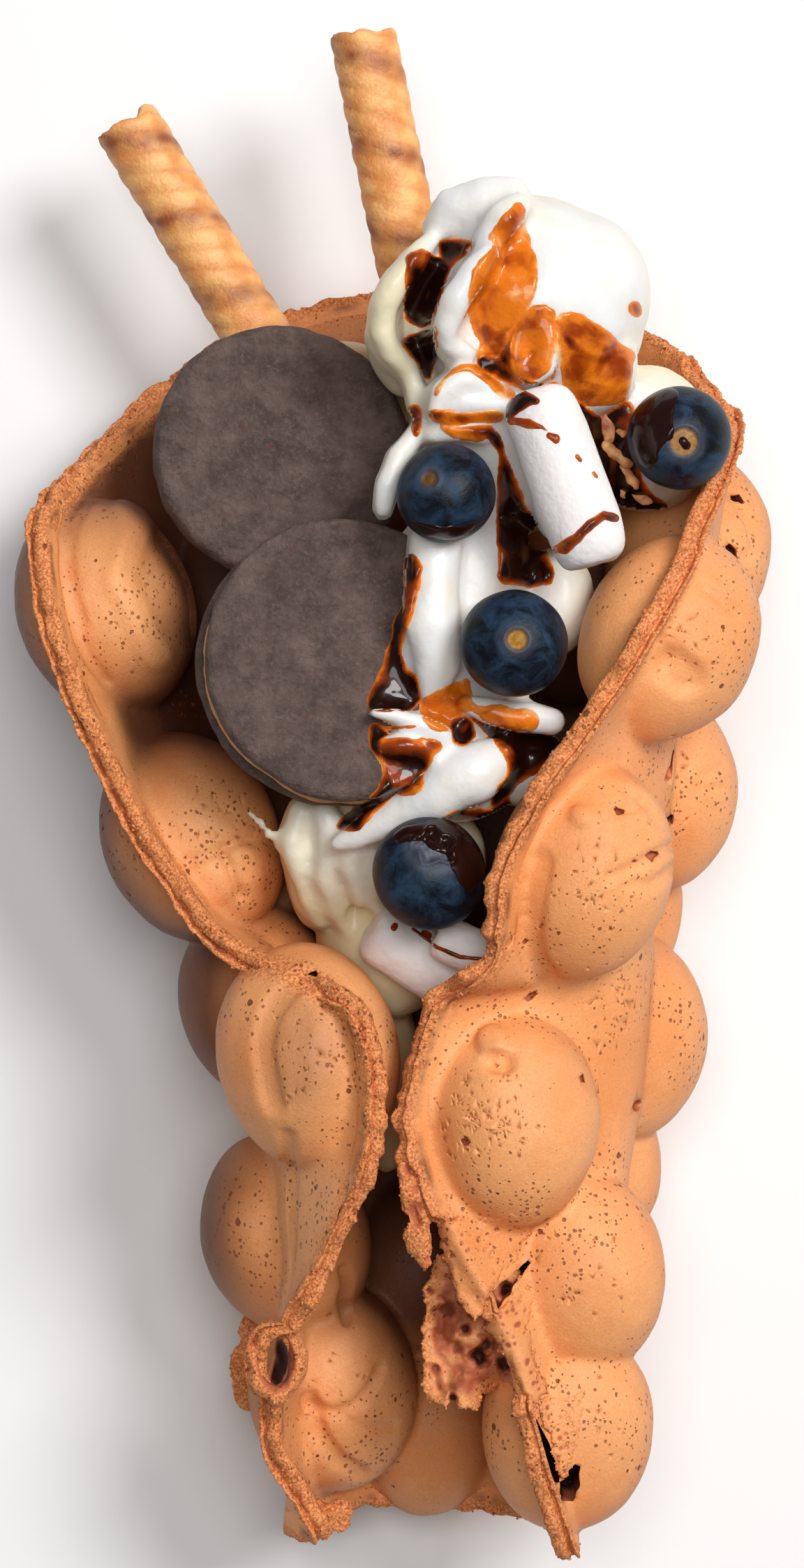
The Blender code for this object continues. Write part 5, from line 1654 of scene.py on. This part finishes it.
# The sauce. Thin chocolate syrup was poured over the filling. It lies near black where it pools
# in the folds, and amber where it spreads thin over the white cream. It has no solid of its own.
# Each pour has its thickness, and either its outline (X, Y) or a path with half widths (X, Y, half
# width).
CREAM_POURS = (
    (0.34, ((18.7, 92.7), (20.0, 91.1), (20.5, 87.1), (21.5, 83.7), (21.7, 79.7), (21.0, 76.4),
     (19.3, 74.3), (18.0, 72.3), (16.5, 70.7), (15.1, 69.3), (13.6, 68.3), (11.6, 68.0), (12.8, 70.3),
     (11.6, 72.2), (10.3, 74.9), (10.0, 77.7), (11.0, 81.0), (13.6, 84.4), (14.3, 85.7), (13.3, 86.4),
     (14.6, 88.4), (16.7, 91.1))),
    (0.60, ((11.7, 72.8), (13.7, 73.8), (15.2, 73.0), (16.9, 72.4), (17.8, 70.8), (16.4, 69.2),
     (14.7, 67.8), (12.7, 67.9), (13.1, 70.4))),
    (0.95, ((0.6, 85.2), (3.3, 85.9), (6.0, 85.2), (7.9, 84.2), (7.5, 80.8), (6.5, 78.1), (5.8, 75.2),
     (4.3, 73.9), (1.6, 74.0), (0.4, 75.2), (0.1, 77.4), (0.4, 81.5))),
    (0.95, ((-0.5, 71.6), (1.6, 73.3), (5.4, 73.5), (6.2, 70.6), (5.6, 67.9), (5.2, 65.1), (3.7, 65.5),
     (1.6, 68.6), (0.1, 70.3))),
    (0.80, ((5.3, 87.4), (7.7, 88.1), (10.8, 87.4), (11.8, 86.4), (9.7, 84.0), (7.4, 82.5), (6.0, 84.3))),
    (0.40, ((16.4, 69.9), (17.4, 72.6), (18.7, 74.9), (21.1, 76.6), (23.4, 76.3), (24.6, 74.3),
     (25.0, 70.6), (24.4, 67.2), (23.1, 64.9), (20.4, 63.9), (18.1, 64.5), (16.5, 66.5))),
    (0.85, ((15.2, 68.0), (16.5, 70.7), (17.7, 73.0), (18.5, 74.6), (17.9, 71.3), (17.6, 68.0),
     (18.4, 65.6), (20.4, 64.1), (18.1, 63.8), (15.9, 65.6))),
    (0.42, ((24.5, 75.1), (27.2, 75.4), (30.5, 74.2), (33.2, 72.2), (35.9, 70.7), (37.9, 69.7),
     (37.5, 67.4), (36.9, 64.7), (36.2, 62.0), (32.7, 60.4), (29.2, 60.8), (26.5, 62.8), (25.0, 65.4),
     (24.4, 69.4))),
    (0.95, ((25.1, 72.8), (27.8, 70.8), (31.2, 69.3), (34.5, 69.3), (37.5, 69.2), (34.7, 67.3),
     (31.2, 67.2), (27.8, 67.8), (25.7, 69.3))),
    (0.80, ((24.0, 75.2), (25.1, 74.4), (25.5, 71.2), (25.1, 67.1), (24.5, 64.5), (23.6, 64.5),
     (24.4, 67.8), (24.7, 71.2))),
    (0.60, ((36.1, 76.7), (37.1, 78.0), (38.4, 77.7), (38.9, 76.2), (38.1, 74.8), (36.6, 75.2))),
    (1.00, ((11.7, 68.0), (14.4, 68.7), (17.1, 67.2), (19.8, 64.2), (23.1, 64.2), (25.2, 64.5),
     (26.8, 62.0), (29.3, 60.3), (33.2, 60.0), (36.7, 62.0), (38.6, 59.3), (37.3, 55.9), (34.6, 55.0),
     (31.9, 56.3), (29.2, 58.9), (26.5, 60.4), (23.8, 61.9), (20.5, 62.8), (18.4, 63.8), (15.7, 64.5),
     (13.1, 65.9))),
    (1.25, ((26.4, 62.5), (29.4, 60.6), (33.5, 59.9), (37.0, 59.9), (38.0, 57.1), (38.4, 53.7),
     (39.1, 49.9), (41.3, 46.6), (43.8, 46.1), (45.2, 44.0), (42.5, 42.4), (38.9, 43.0), (35.5, 43.8),
     (34.0, 46.6), (32.6, 49.9), (31.1, 52.7), (29.1, 56.0), (27.7, 59.1))),
    (1.30, ((11.1, 56.2), (13.9, 55.5), (15.2, 53.8), (15.4, 50.4), (15.1, 46.3), (14.7, 42.9),
     (15.0, 39.5), (15.2, 36.1), (15.4, 32.0), (23.4, 32.0), (25.4, 34.4), (23.9, 37.8), (22.4, 40.9),
     (21.0, 44.3), (19.4, 47.7), (17.6, 51.8), (15.8, 55.7), (14.2, 57.2), (12.2, 56.9))),
    (0.36, ((4.6, 61.9), (6.0, 64.6), (8.3, 66.6), (11.0, 67.4), (13.7, 66.0), (16.4, 63.9), (18.4, 62.9),
     (17.9, 61.1), (15.1, 61.9), (13.0, 64.3), (10.7, 65.8), (8.5, 65.4), (6.7, 63.6), (5.8, 61.3))),
    (0.55, ((3.8, 59.8), (7.0, 60.0), (11.0, 59.6), (15.1, 60.0), (17.1, 59.2), (15.7, 57.4),
     (12.4, 57.8), (8.3, 56.9), (5.8, 57.5), (4.3, 58.4))),
    (0.45, ((5.3, 57.6), (8.3, 57.0), (12.4, 57.6), (14.7, 57.6), (15.1, 56.3), (12.4, 54.5), (9.1, 55.0),
     (6.7, 56.1))),
    (0.95, ((0.6, 61.3), (2.6, 61.6), (3.5, 59.6), (3.4, 56.9), (2.3, 55.0), (1.2, 56.9), (0.8, 59.2))),
    (1.15, ((0.4, 37.3), (2.6, 36.6), (3.4, 34.4), (3.0, 32.2), (2.4, 28.6), (0.8, 23.5), (-0.1, 19.4),
     (2.7, 16.9), (3.2, 13.8), (1.8, 11.6), (-2.4, 11.2), (-5.7, 11.4), (-6.4, 13.8), (-4.6, 16.7),
     (-2.7, 20.9), (-1.2, 25.3), (-0.2, 29.3), (0.2, 33.0))),
    (1.25, ((-5.6, 9.7), (-3.9, 10.2), (-1.5, 7.8), (-3.0, 7.3), (-3.1, 5.2), (-2.1, 3.0), (-1.1, 0.8),
     (-1.1, -1.7), (-4.4, -5.2), (-7.2, -7.9), (-11.2, -7.4), (-10.0, -5.0), (-4.9, -2.0), (-2.4, 1.6),
     (-4.2, 3.4), (-5.6, 5.9))),
    (0.36, ((3.0, 13.8), (5.6, 15.4), (8.5, 16.5), (10.9, 17.9), (11.9, 14.7), (11.6, 12.5), (14.4, 13.1),
     (17.3, 12.5), (21.7, 11.8), (22.7, 9.6), (20.3, 7.5), (16.6, 7.5), (14.4, 8.6), (12.2, 10.4),
     (11.1, 11.6), (10.0, 10.9), (8.7, 8.7), (5.6, 8.0), (3.4, 9.4), (2.6, 11.8))),
    (0.72, ((-4.8, 7.2), (-0.2, 7.8), (2.7, 7.4), (5.6, 7.4), (6.7, 5.8), (5.4, 4.1), (4.4, 2.7),
     (3.5, 1.4), (4.0, -0.3), (3.0, -1.6), (0.5, -2.0), (-2.6, -0.6), (-3.4, 2.8), (-4.8, 5.0))),
    (0.90, ((-4.6, 9.7), (-1.7, 9.4), (2.4, 9.8), (2.6, 8.8), (-0.9, 8.5), (-3.7, 8.4))),
    (0.80, ((-2.4, 5.3), (-0.1, 4.9), (2.7, 4.3), (1.5, 3.0), (-0.9, 3.4))),
    (0.95, ((7.6, 10.6), (10.4, 11.6), (12.2, 9.8), (12.0, 7.0), (9.8, 5.6), (7.8, 7.0))),
    (1.15, ((10.1, 11.1), (11.5, 11.4), (13.0, 10.1), (15.6, 9.1), (18.6, 8.6), (23.6, 8.4), (26.9, 7.2),
     (25.9, 3.2), (22.1, 1.8), (19.4, 0.5), (17.7, -1.7), (14.9, -4.0), (14.2, -3.3), (15.5, -1.2),
     (16.7, 1.6), (16.4, 4.3), (14.6, 7.3), (12.1, 9.2))),
    (1.00, ((2.4, -7.4), (4.9, -5.6), (7.9, -4.6), (12.3, -4.0), (15.2, -3.6), (17.1, -1.4), (18.1, -3.6),
     (16.7, -6.5), (15.5, -9.4), (14.2, -8.0), (11.5, -5.8), (7.9, -5.5), (4.9, -6.5))),
)
MARSHMALLOW_POURS = (
    (1.10, ((15.4, 58.4), (16.4, 60.6), (18.6, 62.6), (20.6, 61.6), (22.2, 60.2), (19.6, 59.2),
     (17.6, 57.6), (16.0, 56.8))),
    (0.32, ((17.4, 57.4, 0.9), (20.0, 56.8, 1.0), (22.0, 56.2, 0.6), (23.3, 55.2, 0.3))),
    (0.60, ((23.2, 54.8, 0.85), (24.2, 54.3, 0.95))),
    (0.16, ((23.8, 54.0, 0.26), (26.2, 52.2, 0.26), (28.0, 50.6, 0.26), (30.2, 48.6, 0.26))),
    (0.50, ((27.6, 51.6, 0.6), (28.1, 51.0, 0.6))),
    (0.45, ((30.2, 49.0, 0.5), (30.6, 48.5, 0.5))),
    (0.95, ((23.4, 36.9, 0.6), (25.6, 37.2, 1.3), (27.4, 38.6, 0.9), (29.6, 40.9, 0.9), (31.8, 42.4, 1.0),
     (33.8, 42.0, 0.9))),
)
LOW_POURS = (
    (0.35, ((-1.3, -23.3, 0.8), (-1.1, -23.0, 0.8))),
    (0.55, ((1.8, -23.6, 0.5), (5.6, -26.4, 0.6), (9.4, -28.0, 0.55), (13.4, -28.4, 0.5))),
    (0.30, ((3.6, -24.2, 0.8), (4.4, -24.8, 0.9))),
)
BERRY_POURS = (
    (0.30, ((-2.4, -7.9), (2.7, -5.7), (7.8, -4.6), (12.8, -5.0), (14.7, -7.9), (14.0, -13.7),
     (12.8, -16.6), (9.9, -17.3), (8.5, -16.2), (8.1, -14.4), (7.8, -11.5), (5.6, -10.8), (2.7, -9.3),
     (-0.9, -10.1))),
)
DISH_POURS = (
    (0.30, ((0.6, 42.4), (3.2, 41.6), (6.8, 41.0), (10.0, 41.0), (12.6, 42.2), (11.0, 39.4), (6.6, 38.4),
     (2.6, 39.6))),
    (0.30, ((37.2, 61.9), (39.9, 63.5), (42.6, 63.9), (44.6, 62.9), (43.6, 60.5), (43.2, 57.8),
     (43.6, 55.0), (41.3, 53.8), (40.7, 51.0), (38.7, 49.6), (37.3, 52.3), (36.7, 55.8), (36.5, 59.2))),
    (0.60, ((44.7, 54.6, 0.95), (45.3, 53.9, 0.95))),
)

SAUCE_UNDER = 0.35
SAUCE_STEEPEST = 16

# Flakes of wafer that lie in the sauce: place (X, Y), half sizes and turn in degrees.
FLAKES = (
    (33.2, 57.6, (1.3, 2.7, 0.5), 20), (34.8, 53.6, (1.0, 2.8, 0.45), 48),
    (36.8, 50.2, (1.0, 2.6, 0.45), 30), (38.8, 46.8, (0.9, 2.4, 0.4), 62),
    (35.4, 56.8, (0.6, 1.1, 0.35), 80), (36.0, 47.6, (0.6, 1.2, 0.35), 15),
)


def soften_corners(path):
    """Cut the corners off an outline, twice."""
    for _ in range(2):
        ends = zip(path, path[1:] + path[:1])
        path = [(a[0] + (b[0] - a[0]) * share, a[1] + (b[1] - a[1]) * share) for a, b in ends
                for share in (0.25, 0.75)]
    return path


def corners_of(field):
    """The values at the four corners of each cell of a grid."""
    return np.stack([field[:-1, :-1], field[1:, :-1], field[:-1, 1:], field[1:, 1:]])


def pour(name, pours, shapes, pitch, fill, darker=0.0):
    """Sauce that lies on what is below it, as a closed mesh that dips under at its edge."""
    x, y, flat = flat_field([place[:2] for _, path in pours for place in path], 2.5, pitch)
    bend = waves(flat, (0.55, 3.4, 121), (0.30, 1.5, 122), (0.12, 0.7, 124))
    inside, thickness, film = np.full(x.size, -9.0), np.zeros(x.size), np.zeros(x.size)
    for height, path in pours:
        if len(path[0]) == 2:
            path = soften_corners(list(path))
        reach = reach_inside(flat[:, :2], path)
        reach = reach + (bend + 0.15) * limit(reach.max() / 2.0)
        full = 1 - np.exp(-np.maximum(reach, 0) / (0.3 + 0.45 * height))
        thickness = np.maximum(thickness, height * full)
        patchy = 1 + 0.45 * wobble(flat, 2.6, 125) * (height > 0.8)
        seen = 1 - np.exp(-np.maximum(reach, 0) / (0.45 + 0.6 * height))
        film = np.maximum(film, height * patchy * seen)
        inside = np.maximum(inside, reach)
    tree = surface_tree(shapes)
    ground = np.full(x.size, np.nan)
    for number in np.flatnonzero(inside > -0.7):
        ground[number] = top_at(tree, *flat[number, :2], np.nan)
    shape = x.shape
    ground = ground.reshape(shape)
    known = ~np.isnan(ground)
    ground = np.where(known, ground, 0)
    inside, thickness = inside.reshape(shape), thickness.reshape(shape)
    level = even_out(ground, known, int(1.1 * (1.5 / pitch) ** 2) + 1)
    share = smooth(limit((inside + 0.1) / 0.6))
    raised = np.clip(level - ground, 0, 4.5) * fill * limit((thickness - 0.3) / 0.6)
    grain = waves(flat, (0.09, 1.5, 123), (0.40, 3.4, 126)).reshape(shape)
    grain *= limit(thickness / 0.9)
    depth = share * (thickness + raised + grain) - (1 - share) * SAUCE_UNDER
    top = ground + depth
    pooled = limit(raised / 0.5 - 0.6)
    top += pooled * (even_out(top, known, 5) - top)
    steep = corners_of(top).max(axis=0) - corners_of(top).min(axis=0)
    kept = corners_of(known).all(axis=0) & (steep < SAUCE_STEEPEST * pitch)
    kept &= corners_of(inside).max(axis=0) > -0.5
    foot = ground - 0.5 + np.minimum(depth, 0)
    sauce, used = grid_slab(name, x, y, top, foot, kept)
    film = film.reshape(shape) + share * raised
    set_value(sauce, "depth", np.tile(np.clip(film[used], 0, 3) + darker, 2))
    return sauce


def sauce_material():
    material, tree, shader = new_material("chocolate_syrup", {
        "Coat Weight": 0.40, "Coat Roughness": 0.07, "Specular IOR Level": 0.12})
    place = object_place(tree)
    uneven = calculate(tree, "MULTIPLY_ADD", noise(tree, place, 210.0, 5.0, 0.5, 0.5), 1.05, -0.56)
    seen = calculate(tree, "ADD", attribute(tree, "depth"), uneven)
    color = layers(tree, srgb(246, 200, 140), (step_between(tree, seen, -0.10, 0.20), srgb(226, 120, 24)),
                   (step_between(tree, seen, 0.20, 0.52), srgb(152, 58, 6)),
                   (step_between(tree, seen, 0.42, 0.95), srgb(32, 9, 4)))
    roughness = calculate(tree, "MULTIPLY_ADD", step_between(tree, seen, 0.15, 0.6), -0.06, 0.40)
    thin = step_between(tree, seen, 0.6, 0.1)
    height = calculate(tree, "MULTIPLY", noise(tree, place, 1500.0, 2.0), thin)
    finish(tree, shader, color, height, 0.00015, roughness)
    return material


SYRUP = sauce_material()
sauces = [
    pour("sauce_on_cream", CREAM_POURS, [cream_shape] + biscuits, 0.32, 1.0),
    pour("sauce_on_marshmallow", MARSHMALLOW_POURS, marshmallow_shapes[:1], 0.22, 0.0, 0.22),
    pour("sauce_below", LOW_POURS, marshmallow_shapes[1:], 0.22, 0.0, 0.45),
    pour("sauce_on_berry", BERRY_POURS, berry_shapes[3:], 0.25, 0.0, 0.9),
    pour("sauce_on_berries", DISH_POURS, berry_shapes[:3], 0.25, 0.0, 0.9),
]
sauce_tree = surface_tree([cream_shape, shape_of(sauces[0])])


def make_flake(number, x, y, half_sizes, turn):
    middle = (x, y, top_at(sauce_tree, x, y, 66.0) + 0.25)
    flake = add_ellipsoid("flake_%d" % number, middle, half_sizes, turn, 48, 32)
    places, normals = places_of(flake), normals_of(flake)
    rough = waves(places, (0.55, 1.6, 131), (0.3, 0.7, 132))
    places += normals * rough[:, None] * np.array([1.0, 1.0, 0.35])
    set_places(flake, places)
    set_value(flake, "band", limit(0.35 + 1.1 * wobble(places, 1.5, 133)))
    set_value(flake, "groove", limit(0.5 + wobble(places, 0.8, 134)))
    return flake


flakes = [make_flake(number, *flake) for number, flake in enumerate(FLAKES)]
join(flakes[0], flakes[1:])
wafer_flakes = flakes[0]
wafer_flakes.name = "wafer_flakes"
paint(wafer_flakes, ROLLED_WAFER)
set_down(wafer_flakes)
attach(wafer_flakes, "root")
for sauce in sauces:
    paint(sauce, SYRUP)
    set_down(sauce)
    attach(sauce, "root")
